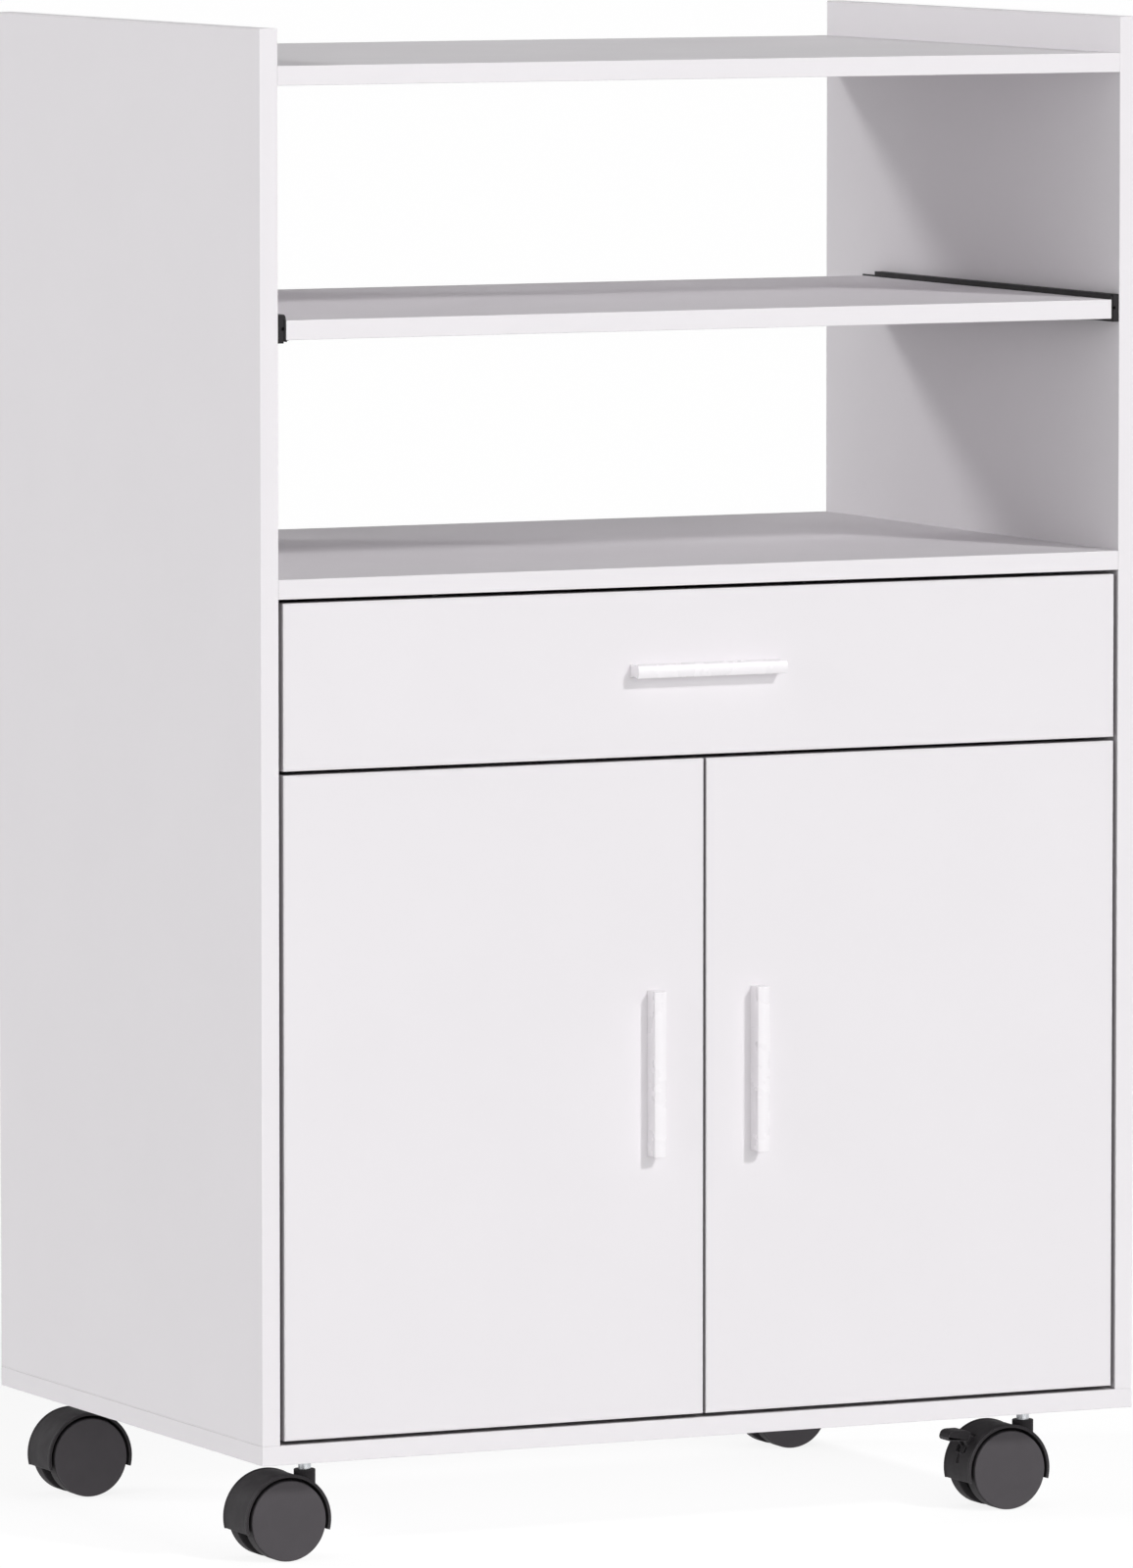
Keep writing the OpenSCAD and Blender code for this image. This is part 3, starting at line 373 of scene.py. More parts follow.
# Moulded nylon tread of a wheel: black, dusty where it rolls and paler at its edges.
TREAD_NYLON = Moulded(
    "moulded_nylon_tread_black", "wheel_nylon", colour="#343234", shade="#3A383A",
    worn_and_highlight="#4C4A4C", roughness=0.58, ior=1.53, specular=0.06, shade_mm=5.0, grain_mm=1.3,
    relief_mm=0.02, wear_and_highlight_mm=0.5,
)
# Moulded nylon disc pressed into the wheel: dark grey, smooth, scuffed at its edge.
WHEEL_NYLON = Moulded(
    "moulded_nylon_wheel_grey", "wheel_nylon", colour="#524F52", shade="#4C494C",
    worn_and_highlight="#646164", roughness=0.5, ior=1.53, specular=0.08, shade_mm=12.0, grain_mm=1.6,
    relief_mm=0.016, wear_and_highlight_mm=0.5, wear_and_highlight=0.4,
)
# Zinc-plated steel screws and stems: bright bluish metal with a fine crystalline bloom.
PLATED_STEEL = Rolled(
    "zinc_plated_steel", "zinc_steel", colour="#D4D6D9", shade="#B9BCC0",
    worn_and_highlight="#E6E7E8", roughness=0.3, metallic=1.0, shade_mm=3.0, line_mm=0.2,
    along=(1.0, 1.0, 0.2), relief_mm=0.004, wear_and_highlight_mm=0.3, uneven=0.1,
)
# Die-cast zinc cams: greyer and duller than the plated steel, with a grainy skin.
CAST_ZINC = Moulded(
    "die_cast_zinc", "zinc_alloy", colour="#ABADB0", shade="#999B9F", worn_and_highlight="#C9CACC",
    roughness=0.42, metallic=1.0, shade_mm=2.5, grain_mm=0.6, relief_mm=0.01,
    wear_and_highlight_mm=0.3, uneven=0.1, pit_mm=0.3,
)
# Nickel-plated hinge steel: pressed smooth, warmer and brighter than zinc.
PLATED_HINGE = Rolled(
    "nickel_plated_steel", "zinc_steel", colour="#D9D6D0", shade="#C9C6C0",
    worn_and_highlight="#ECEAE6", roughness=0.22, metallic=1.0, shade_mm=8.0, line_mm=0.3,
    along=(0.2, 1.0, 1.0), relief_mm=0.003, wear_and_highlight_mm=0.3,
)
# Turned beech dowels: pale pinkish wood.
BEECH = Turned(
    "turned_beech", "dowel_wood", colour="#D2AE86", shade="#BF976C", worn_and_highlight="#DDBF9C",
    roughness=0.6, specular=0.3, shade_mm=1.5, relief_mm=0.03,
)


# ---------------------------------------------------------------- mesh tools


def frame_of(x: Vector, y: Vector, z: Vector, origin: Vector) -> Matrix:
    """Returns the matrix that puts three local axes at an origin, in millimetres."""
    return Matrix.Translation(origin) @ Matrix((x, y, z)).transposed().to_4x4()


def arc(
    centre: tuple[float, float], radius: float, start: float, end: float, steps: int
) -> list[tuple[float, float]]:
    """Returns points on an arc, its angles in degrees."""
    angles = [math.radians(start + (end - start) * i / steps) for i in range(steps + 1)]
    return [
        (centre[0] + radius * math.cos(a), centre[1] + radius * math.sin(a))
        for a in angles
    ]


def rounded(
    points: list[tuple[float, float]], radii: list[float], steps: int = 5
) -> list[tuple[float, float]]:
    """Rounds the corners of an outline.

    Args:
        points: the corners, in order.
        radii: the length cut from each side of each corner, 0 for a sharp one.
        steps: pieces of each rounded corner.

    Returns:
        The points of the rounded outline.
    """
    out = []
    for i, (point, radius) in enumerate(zip(points, radii)):
        here = Vector(point)
        if radius <= 0:
            out.append(tuple(here))
            continue
        before = (Vector(points[i - 1]) - here).normalized() * radius
        after = (Vector(points[(i + 1) % len(points)]) - here).normalized() * radius
        for k in range(steps + 1):
            t = k / steps
            out.append(tuple(here + before * (1 - t) ** 2 + after * t**2))
    return out


class Form:
    """A mesh under construction from closed shells, in millimetres of the row's frame."""

    def __init__(self) -> None:
        """Starts with no shell."""
        self.mesh = bmesh.new()

    def shell(
        self, rings: list[list[Vector]], finish: int = 0, closed: bool = False
    ) -> None:
        """Skins a row of rings that all have the same number of points.

        Args:
            rings: the rings, each a closed loop; a ring of one point is a pole.
            finish: the number of the faces' finish.
            closed: whether the last ring joins the first.
        """
        made = [[self.mesh.verts.new(p) for p in ring] for ring in rings]
        faces = []
        pairs = list(zip(made, made[1:] + made[:1]))
        for a, b in pairs if closed else pairs[:-1]:
            count = max(len(a), len(b))
            for i in range(count):
                j = (i + 1) % count
                corners = []
                for v in (a[i % len(a)], a[j % len(a)], b[j % len(b)], b[i % len(b)]):
                    if v not in corners:
                        corners.append(v)
                faces.append(self.mesh.faces.new(corners))
        if not closed:
            for ring in (made[0], made[-1]):
                if len(ring) > 2:
                    faces.append(self.mesh.faces.new(ring))
        for face in faces:
            face.material_index = finish
        corners = [v for ring in made for v in ring]
        bmesh.ops.remove_doubles(self.mesh, verts=corners, dist=1e-5)
        whole = [face for face in faces if face.is_valid]
        bmesh.ops.recalc_face_normals(self.mesh, faces=whole)

    def prism(
        self, outline: list[tuple[float, float]], depth: float, place: Matrix,
        finish: int = 0,
    ) -> None:
        """Adds an outline extruded along the local Z of its place."""
        self.shell(
            [[place @ Vector((x, y, z)) for x, y in outline] for z in (0.0, depth)],
            finish,
        )

    def block(self, low: Vector, high: Vector, finish: int = 0) -> None:
        """Adds a block between two corners."""
        corners = [(low.x, low.y), (high.x, low.y), (high.x, high.y), (low.x, high.y)]
        place = Matrix.Translation((0, 0, low.z))
        self.prism(corners, high.z - low.z, place, finish)

    def turned(
        self, profile: list[tuple[float, float]], place: Matrix, finish: int = 0,
        start: float = 0.0, end: float = 360.0, steps: int = 96,
    ) -> None:
        """Adds a closed profile turned about the local Z of its place.

        Args:
            profile: points of radius and height, round the section.
            place: where the axis is.
            finish: the number of the faces' finish.
            start: the first angle of the sweep, in degrees.
            end: the last angle; a full turn has no end faces.
            steps: pieces of the sweep.
        """
        whole = abs(end - start - 360) < 1e-6
        rings = []
        for i in range(steps if whole else steps + 1):
            a = math.radians(start + (end - start) * i / steps)
            rings.append(
                [
                    place @ Vector((r * math.cos(a), r * math.sin(a), z))
                    for r, z in profile
                ]
            )
        self.shell(rings, finish, closed=whole)

    def solid(self, name: str, scale: float = 1.0) -> bpy.types.Object:
        """Returns a new object with what the form holds, and empties the form."""
        data = bpy.data.meshes.new(name)
        self.mesh.to_mesh(data)
        self.mesh.free()
        self.mesh = bmesh.new()
        data.transform(Matrix.Scale(scale, 4))
        made = bpy.data.objects.new(name, data)
        bpy.context.scene.collection.objects.link(made)
        return made

    def cut(self, tool: "Form") -> None:
        """Takes the tool's shells out of the form's."""
        body, knife = self.solid("body"), tool.solid("knife")
        change = body.modifiers.new("cut", "BOOLEAN")
        change.object, change.solver, change.operation = knife, "EXACT", "DIFFERENCE"
        change.use_self = True
        data = applied(body)
        self.mesh.from_mesh(data)
        bpy.data.meshes.remove(data)
        for part in (body, knife):
            bpy.data.objects.remove(part)


def applied(obj: bpy.types.Object) -> bpy.types.Mesh:
    """Returns a new mesh that has the object's modifiers applied."""
    bpy.context.view_layer.update()
    shown = obj.evaluated_get(bpy.context.evaluated_depsgraph_get())
    return bpy.data.meshes.new_from_object(shown)


@dataclass
class Piece:
    """A finished piece of the cart: its form, what it rides on and what it stands for."""

    name: str
    body: str
    nodes: tuple[str, ...]
    finishes: tuple[Finish, ...]
    round_mm: float = 0.12
    segments: int = 2
    angle: float = 50.0

    def make(self, form: Form) -> bpy.types.Object:
        """Rounds the form's edges, dresses it and sets it in the frame.

        Args:
            form: the piece's shells.

        Returns:
            The piece's object.
        """
        made = form.solid(self.name, MM)
        if self.round_mm:
            rounding = made.modifiers.new("rounding", "BEVEL")
            rounding.limit_method, rounding.angle_limit = (
                "ANGLE", math.radians(self.angle),
            )
            rounding.width, rounding.segments = self.round_mm * MM, self.segments
            data = applied(made)
            made.modifiers.clear()
            tidy = bmesh.new()
            tidy.from_mesh(data)
            bmesh.ops.dissolve_degenerate(tidy, dist=2e-6, edges=tidy.edges)
            tidy.to_mesh(data)
            tidy.free()
            made.data = data
        made.data.name = self.name
        made.data.shade_smooth()
        made.data.set_sharp_from_angle(angle=math.radians(self.angle))
        weigh = made.modifiers.new("even_light", "WEIGHTED_NORMAL")
        weigh.keep_sharp = True
        for finish in self.finishes:
            made.data.materials.append(finish.material())
        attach(made, self.body)
        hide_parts(*self.nodes)
        log.info("%s: %d faces on %s", self.name, len(made.data.polygons), self.body)
        return made


def node_box(node: str) -> tuple[Vector, Vector]:
    """Returns a node's two corners in millimetres."""
    low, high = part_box(node)
    return low / MM, high / MM


def islands(node: str) -> list[tuple[Vector, Vector]]:
    """Returns the two corners of each separate solid in a node, in millimetres."""
    work = bmesh.new()
    work.from_mesh(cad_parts[node].data)
    bmesh.ops.remove_doubles(work, verts=work.verts, dist=1e-6)
    left, found = set(work.verts), []
    while left:
        todo = [left.pop()]
        part = []
        while todo:
            v = todo.pop()
            part.append(v.co / MM)
            for e in v.link_edges:
                other = e.other_vert(v)
                if other in left:
                    left.remove(other)
                    todo.append(other)
        low = Vector([min(p[i] for p in part) for i in range(3)])
        high = Vector([max(p[i] for p in part) for i in range(3)])
        found.append((low, high))
    work.free()
    return sorted(found, key=lambda box: tuple(box[0]))


# ---------------------------------------------------------------- boards


AXES = (Vector((1, 0, 0)), Vector((0, 1, 0)), Vector((0, 0, 1)))


class Side(Enum):
    """A side of a board, as its axis and its sense."""

    LEFT = (0, -1)
    RIGHT = (0, 1)
    FRONT = (1, -1)
    BACK = (1, 1)
    UNDER = (2, -1)
    TOP = (2, 1)


@dataclass
class Board:
    """A faced board with glued edge bands, cut out where fittings sit in it."""

    node: str
    body: str
    bands: tuple[Side, ...] = ()
    fittings: tuple["Pocket", ...] = ()
    finish: Finish = MELAMINE
    band_mm: float = 0.8
    corner_mm: float = 0.5
    seam_mm: float = 0.12

    def build(self) -> None:
        """Builds the core with its pockets and then its edge bands."""
        low, high = node_box(self.node)
        size = high - low
        thin = min(range(3), key=lambda i: size[i])
        core_low, core_high = low.copy(), high.copy()
        strips = []
        for side in self.bands:
            axis, sense = side.value
            strip = (axis, sense, core_low.copy(), core_high.copy())
            strips.append(strip)
            if sense > 0:
                core_high[axis] -= self.band_mm
            else:
                core_low[axis] += self.band_mm
        form = Form()
        form.block(core_low, core_high)
        tool, used = Form(), False
        for pocket in self.fittings:
            used = pocket.carve(tool, (low, high)) or used
        if used:
            form.cut(tool)
        for axis, sense, strip_low, strip_high in strips:
            self.strip(form, thin, axis, sense, strip_low, strip_high)
        Piece(
            self.node + ".faced", self.body, (self.node,), (self.finish, EDGE_BAND),
            round_mm=self.seam_mm,
        ).make(form)

    def strip(
        self, form: Form, thin: int, axis: int, sense: int, low: Vector, high: Vector
    ) -> None:
        """Adds one edge band, its two outer corners scraped round.

        Args:
            form: the board's form.
            thin: the axis of the board's thickness.
            axis: the axis that the band faces.
            sense: which way the band faces.
            low: the band's lowest corner along the other axes.
            high: its highest corner.
        """
        run = 3 - thin - axis
        out = high[axis] if sense > 0 else -low[axis]
        section = rounded(
            [
                (out - self.band_mm, low[thin]), (out, low[thin]), (out, high[thin]),
                (out - self.band_mm, high[thin]),
            ], [0, self.corner_mm, self.corner_mm, 0], 4,
        )
        place = frame_of(
            AXES[axis] * sense, AXES[thin], AXES[run], AXES[run] * low[run]
        )
        form.prism(section, high[run] - low[run], place, 1)


@dataclass
class Pocket:
    """Recesses that a node's solids sit in, round about one axis.

    Each solid that ends at the board's face, or stands a little proud of it, gets one.
    """

    node: str
    axis: int
    wide_mm: float
    narrow_mm: float
    deep_mm: float
    sense: int
    proud_mm: float = 1.2

    def carve(self, tool: Form, board: tuple[Vector, Vector]) -> bool:
        """Adds the recesses to the cutting form.

        Args:
            tool: the form that is taken out of the board.
            board: the board's two corners.

        Returns:
            Whether any solid of the node sits in the board.
        """
        any_found, end = False, 1 if self.sense > 0 else 0
        for island in islands(self.node):
            middle = (island[0] + island[1]) / 2
            face = board[end][self.axis]
            if abs(island[end][self.axis] - face) > self.proud_mm:
                continue
            others = [i for i in range(3) if i != self.axis]
            if not all(board[0][i] < middle[i] < board[1][i] for i in others):
                continue
            middle[self.axis] = face
            u, v = [AXES[i] for i in others]
            inward = AXES[self.axis] * -self.sense
            profile = [
                (0.0, -2.0), (self.wide_mm, -2.0), (self.wide_mm, 0.0),
                (self.narrow_mm, self.deep_mm), (0.0, self.deep_mm),
            ]
            tool.turned(profile, frame_of(u, v, inward, middle), steps=48)
            any_found = True
        return any_found


@dataclass
class Cabinet:
    """The white boards of the carcass, the sliding shelf, the drawer and the doors."""

    cam_mm: float = 6.05
    cam_deep_mm: float = 9.5
    head_mm: float = 4.65
    head_deep_mm: float = 3.0
    screw_mm: float = 2.55
    sleeve_mm: float = 5.65
    corner_head_mm: float = 3.45
    corner_screw_mm: float = 1.65
    corner_deep_mm: float = 2.2
    cup_mm: float = 13.05
    cup_deep_mm: float = 10.5
    through_mm: float = 20.0

    def build(self) -> None:
        """Builds each board on the body that it belongs to."""
        ring = (Side.LEFT, Side.RIGHT, Side.UNDER, Side.TOP)
        upright = (Side.FRONT, Side.BACK, Side.TOP, Side.UNDER)
        cams = Pocket("cam_locks", 2, self.cam_mm, self.cam_mm, self.cam_deep_mm, -1)
        for side in ("left", "right"):
            Board("side_panel_" + side, "carcass", upright).build()
        for node in ("top_shelf", "fixed_shelf"):
            Board(node, "carcass", (Side.FRONT, Side.BACK), (cams,)).build()
        Board(
            "bottom_panel", "carcass", (Side.FRONT, Side.BACK, Side.LEFT, Side.RIGHT),
            (
                Pocket("stem_sleeves", 2, self.sleeve_mm, self.sleeve_mm, self.through_mm, -1),
                Pocket(
                    "base_screws", 2, self.head_mm, self.screw_mm,
                    self.head_deep_mm, -1,
                ),
            ),
        ).build()
        Board(
            "slide_shelf", "sliding_shelf",
            (Side.FRONT, Side.BACK, Side.LEFT, Side.RIGHT),
        ).build()
        self.drawer(ring)
        self.doors(ring)
        for node, body in (("back_panel", "carcass"), ("drawer_bottom", "drawer")):
            Board(node, body, finish=FOILED_HARDBOARD).build()

    def drawer(self, ring: tuple[Side, ...]) -> None:
        """Builds the drawer's front, sides and back."""
        Board("drawer_front", "drawer", ring).build()
        for side, sense in (("left", 1), ("right", -1)):
            Board(
                "drawer_side_" + side, "drawer", (Side.UNDER, Side.TOP, Side.BACK),
                (
                    Pocket(
                        "drawer_cams", 0, self.cam_mm, self.cam_mm,
                        self.cam_deep_mm, sense,
                    ),
                    Pocket(
                        "drawer_screws", 0, self.corner_head_mm, self.corner_screw_mm,
                        self.corner_deep_mm, -sense,
                    ),
                ),
            ).build()
        Board("drawer_back", "drawer", (Side.UNDER, Side.TOP)).build()

    def doors(self, ring: tuple[Side, ...]) -> None:
        """Builds the two doors with the recesses of their hinge cups."""
        for side in ("left", "right"):
            cup = Pocket("hinge_cups_" + side, 1, self.cup_mm, self.cup_mm, self.cup_deep_mm, 1)
            Board("door_" + side, side + "_door", ring, (cup,)).build()


# ---------------------------------------------------------------- runners


@dataclass
class Runner:
    """The two moving rails of a board: each one strip, bent round under the board."""

    node: str
    body: str
    screws: str
    steel_mm: float = 1.2
    tongue_mm: float = 1.5
    tongue_rise_mm: float = 7.3
    tongue_back_mm: float = 3.0
    bend_mm: float = 1.8
    fold_mm: float = 0.6
    nose_mm: float = 3.5
    cut_mm: tuple[float, float] = (6.0, 20.0)
    head_mm: float = 3.45
    shank_mm: float = 1.65
    sink_mm: float = 2.2

    def section(
        self, flange: float, top: float, tongue: float
    ) -> list[tuple[float, float]]:
        """Returns the rail's outline, from the tongue's tip inwards and upwards.

        Args:
            flange: reach of the flange from the web.
            top: height of the web.
            tongue: reach of the tongue from the web.

        Returns:
            Points of the closed outline.
        """
        near, far = self.tongue_mm, self.tongue_mm + self.steel_mm
        low, high = self.tongue_rise_mm, self.tongue_rise_mm + self.steel_mm
        return [
            (far + flange, 0.0),
            *arc((near + self.bend_mm, self.bend_mm), self.bend_mm, 270, 180, 5),
            (near, low), (near - tongue, low), (near - tongue, high), (near, high),
            (near, top), (far, top),
            *arc(
                (far + self.fold_mm, self.steel_mm + self.fold_mm),
                self.fold_mm, 180, 270, 3,
            ), (far + flange, self.steel_mm),
        ]

    def build(self) -> None:
        """Builds both rails with their rounded noses, cut flanges and countersinks."""
        form = Form()
        tool = Form()
        sink = Pocket(self.screws, 2, self.head_mm, self.shank_mm, self.sink_mm, -1)
        for low, high in islands(self.node):
            sense = 1 if low.x > 0 else -1
            size = high - low
            corner = Vector((high.x if sense > 0 else low.x, low.y, low.z))
            place = frame_of(AXES[0] * -sense, AXES[2], AXES[1], corner)
            least = self.fold_mm + 0.05
            most = size.x - self.tongue_mm - self.steel_mm
            rings = []
            bend = [math.radians(a) for a in range(0, 91, 15)]
            turns = [self.nose_mm * (1 - math.cos(a)) for a in bend]
            for y in sorted((*turns, self.tongue_back_mm, *self.cut_mm, size.y)):
                back = max(self.nose_mm - y, 0.0)
                top = size.z - self.nose_mm + math.sqrt(self.nose_mm**2 - back**2)
                share = (y - self.cut_mm[0]) / (self.cut_mm[1] - self.cut_mm[0])
                flange = least + (most - least) * min(max(share, 0.0), 1.0)
                tongue = self.tongue_mm if y >= self.tongue_back_mm else 0.02
                rings.append(
                    [
                        place @ Vector((u, w, y))
                        for u, w in self.section(flange, top, tongue)
                    ]
                )
            form.shell(rings)
            sink.carve(tool, (low, high))
        form.cut(tool)
        Piece(
            self.node + ".rolled", self.body, (self.node,), (COATED_RUNNER,),
            round_mm=0.2,
        ).make(form)


# ---------------------------------------------------------------- handles


@dataclass
class BarHandle:
    """A short bar handle: hollow flanks, a domed front and softly rounded ends."""

    node: str
    body: str
    waist_share: float = 0.8
    dome_mm: float = 1.0
    lip_mm: float = 1.6
    corner_mm: float = 0.9
    steps: int = 9

    def section(self, half: float, reach: float) -> list[tuple[float, float]]:
        """Returns the outline of the bar's section, from its board outwards.

        Args:
            half: half of the bar's width.
            reach: how far the bar stands out.

        Returns:
            Points across the bar and outwards from the board.
        """
        lip = reach - self.dome_mm - self.lip_mm
        waist = half * self.waist_share
        flank = []
        for i in range(self.steps + 1):
            t = i / self.steps
            flank.append((waist + (half - waist) * (2 * t - 1) ** 2, lip * t))
        nose = arc(
            (half - self.corner_mm, reach - self.dome_mm - self.corner_mm),
            self.corner_mm, 0, 78, 4,
        )
        crown = []
        start_u, start_v = nose[-1]
        for i in range(1, 7):
            u = start_u * (1 - 2 * i / 7)
            crown.append((u, start_v + (reach - start_v) * (1 - (u / start_u) ** 2)))
        right = flank + nose
        return right + crown + [(-u, v) for u, v in reversed(right)]

    def build(self) -> None:
        """Builds the bar along the longer side of its node's box."""
        low, high = node_box(self.node)
        size = high - low
        run = 0 if size.x > size.z else 2
        across = 2 - run
        half = size[across] / 2
        middle = (low + high) / 2
        middle.y = high.y
        middle[run] = low[run]
        form = Form()
        form.prism(
            self.section(half, size.y), size[run],
            frame_of(AXES[across], -AXES[1], AXES[run], middle),
        )
        Piece(
            self.node + ".enamelled", self.body, (self.node,), (ENAMELLED_HANDLE,),
            round_mm=0.35, segments=3, angle=60.0,
        ).make(form)


# ---------------------------------------------------------------- casters


@dataclass
class Caster:
    """A twin-wheel caster: hood, two wheels and, on the right-hand ones, a brake lever."""

    place: str
    braked: bool
    node_rim_mm: float = 28.0
    trail_mm: float = 18.5
    wheel_mm: float = 25.0
    disc_mm: float = 24.7
    inner_mm: float = 26.8
    rim_mm: float = 28.8
    half_mm: float = 18.5
    rim_half_mm: float = 17.3
    web_mm: float = 2.5
    gap_mm: float = 6.6
    hub_mm: float = 6.0
    bore_mm: float = 3.05
    axle_mm: float = 8.5
    neck_mm: float = 6.2
    socket_mm: float = 6.7
    stem_bore_mm: float = 4.05
    socket_low_mm: float = 30.0
    socket_top_mm: float = 54.2
    drop_mm: float = 7.0
    pivot_mm: tuple[float, float] = (-12.0, 13.0)
    boss_mm: float = 2.0
    eye_mm: float = 4.2
    shoe_mm: float = 1.8
    fork_in_mm: float = 3.0
    fork_out_mm: float = 6.0
    pedal_half_mm: float = 6.5
    stem: Vector = field(default_factory=Vector)

    def __post_init__(self) -> None:
        """Finds the stem's place from the hood's box."""
        low, high = node_box("hood_" + self.place)
        middle = (low + high) / 2
        x = low.x + self.node_rim_mm + self.trail_mm
        self.stem = Vector((x, middle.y, 0))

    def axle(self, forward: float = 0.0) -> Matrix:
        """Returns the frame at the axle's middle, or in front of it, with Z forward."""
        origin = self.stem + Vector((-self.trail_mm, -forward, self.wheel_mm))
        return frame_of(AXES[0], AXES[2], -AXES[1], origin)

    def build(self) -> None:
        """Builds the caster's pieces."""
        self.hood()
        for letter, sense in (("a", 1), ("b", -1)):
            self.wheel(letter, sense)
        if self.braked:
            self.brake()

    def hood(self) -> None:
        """Builds the shell with its two raised rims, the web, the hub and the socket."""
        form, place = Form(), self.axle()
        h, r, deep = self.rim_half_mm, self.rim_mm, self.inner_mm
        start = -math.degrees(math.asin(self.drop_mm / r))
        end = 180 - start
        rim = [
            (deep, h - 0.4), (deep + 0.15, h - 0.1), (deep + 0.45, h),
            *arc((r - 0.6, h - 0.6), 0.6, 80, 0, 5), (r, h - 1.5), (r - 0.12, h - 1.9),
            (r - 0.38, h - 2.4), (r - 0.45, h - 3.2),
        ]
        section = rim + [(a, -b) for a, b in reversed(rim)]
        form.turned(section, place, start=start, end=end, steps=110)
        if self.braked:
            form.cut(self.windows())
        web = arc((0, 0), deep + 0.5, start, end, 72)
        form.prism(web, 2 * self.web_mm, self.axle(-self.web_mm))
        hub = self.gap_mm - 0.3
        self.rod(form, (0.0, 0.0), self.hub_mm, -hub, hub, 48)
        low, top, wide = self.socket_low_mm, self.socket_top_mm, self.socket_mm
        stem = Matrix.Translation(self.stem)
        form.turned(
            [
                (0.0, top - 7.0), (wide, top - 7.0),
                *arc((wide - 0.5, top - 0.5), 0.5, 0, 90, 4), (0.0, top),
            ], stem, steps=64,
        )
        flat = self.neck_mm
        neck = [(x, max(-flat, min(flat, y))) for x, y in arc((0, 0), wide, 0, 350, 35)]
        form.prism(neck, top - 6.9 - low, stem @ Matrix.Translation((0, 0, low)))
        if self.braked:
            self.rod(form, self.pivot_mm, self.boss_mm, -self.fork_out_mm, self.fork_out_mm)
        bore = Form()
        self.rod(bore, (0.0, 0.0), self.bore_mm, -2 * hub, 2 * hub, 48)
        wall = self.stem_bore_mm
        bore.turned(
            [
                (0.0, low - 1), (wall, low - 1), (wall, top - 0.5),
                (wall + 0.7, top + 0.2), (0.0, top + 0.2),
            ], stem, steps=48,
        )
        form.cut(bore)
        Piece(
            "hood_" + self.place + ".moulded", self.place + "_caster",
            ("hood_" + self.place,), (HOOD_NYLON,), round_mm=0.2, angle=48.0,
        ).make(form)

    def rod(
        self, form: Form, centre: tuple[float, float], radius: float, low: float,
        high: float, steps: int = 24,
    ) -> None:
        """Adds a rod along the axle's direction.

        Args:
            form: the form that gets the rod.
            centre: its place across the axle.
            radius: its radius.
            low: its rear end, forward of the axle's middle.
            high: its front end.
            steps: pieces of its roundness.
        """
        x, z = centre
        form.turned(
            [(0.0, low), (radius, low), (radius, high), (0.0, high)],
            self.axle() @ Matrix.Translation((x, z, 0)), steps=steps,
        )

    def windows(self) -> Form:
        """Returns the cutting form of the fork's window and the small slot below it."""
        tool, out = Form(), -self.rim_mm - 2
        half = self.fork_out_mm + 0.6
        fork = [(out, 10.6), (-22.6, 10.6), (-17.3, 18.0), (-17.3, 23.0), (out, 23.0)]
        tool.prism(fork, 2 * half, self.axle(-half))
        slot = [(out, 4.0), (-25.4, 4.0), (-25.4, 9.9), (out, 9.9)]
        tool.prism(slot, 4.0, self.axle(-2.0))
        return tool

    def wheel(self, letter: str, sense: int) -> None:
        """Builds a wheel: a rounded tread with a hollow back, and the disc pressed into it.

        Args:
            letter: a for the front wheel, b for the rear one.
            sense: 1 towards the front, -1 towards the back.
        """
        width, r, disc = self.half_mm - self.gap_mm, self.wheel_mm, self.disc_mm
        seat, deep = width - 1.5, self.axle_mm - self.gap_mm + self.bore_mm
        tread = [
            (0.0, deep), (self.bore_mm, deep), (self.bore_mm, 0.0), (7.0, 0.0),
            (7.0, 7.0), (r - 4.2, 7.0), (r - 3.9, 0.0),
            *arc((r - 0.8, 0.8), 0.8, -90, 0, 4),
            *arc((r - 0.5, seat - 0.5), 0.5, 0, 90, 4), (0.0, seat),
        ]
        edge = width - 0.45
        cap = [
            (0.0, seat - 0.6), (disc - 0.3, seat - 0.6), (disc, seat - 0.3),
            *arc((disc - 0.55, edge - 0.55), 0.55, 0, 84, 5),
        ]
        for ring in (22.0, 19.0, 15.0, 11.0, 7.0, 3.5, 0.0):
            cap.append((ring, edge + (width - edge) * (1 - (ring / disc) ** 2)))
        place = self.axle()
        if sense < 0:
            place = place @ Matrix.Rotation(math.pi, 4, "X")
        place = place @ Matrix.Translation((0, 0, self.gap_mm))
        form = Form()
        form.turned(tread, place, steps=120)
        form.turned(cap, place, 1, steps=120)
        Piece(
            f"wheel_{self.place}_{letter}.moulded", f"{self.place}_wheel_{letter}",
            (f"wheel_{self.place}_{letter}",), (TREAD_NYLON, WHEEL_NYLON), round_mm=0.0,
            angle=42.0,
        ).make(form)

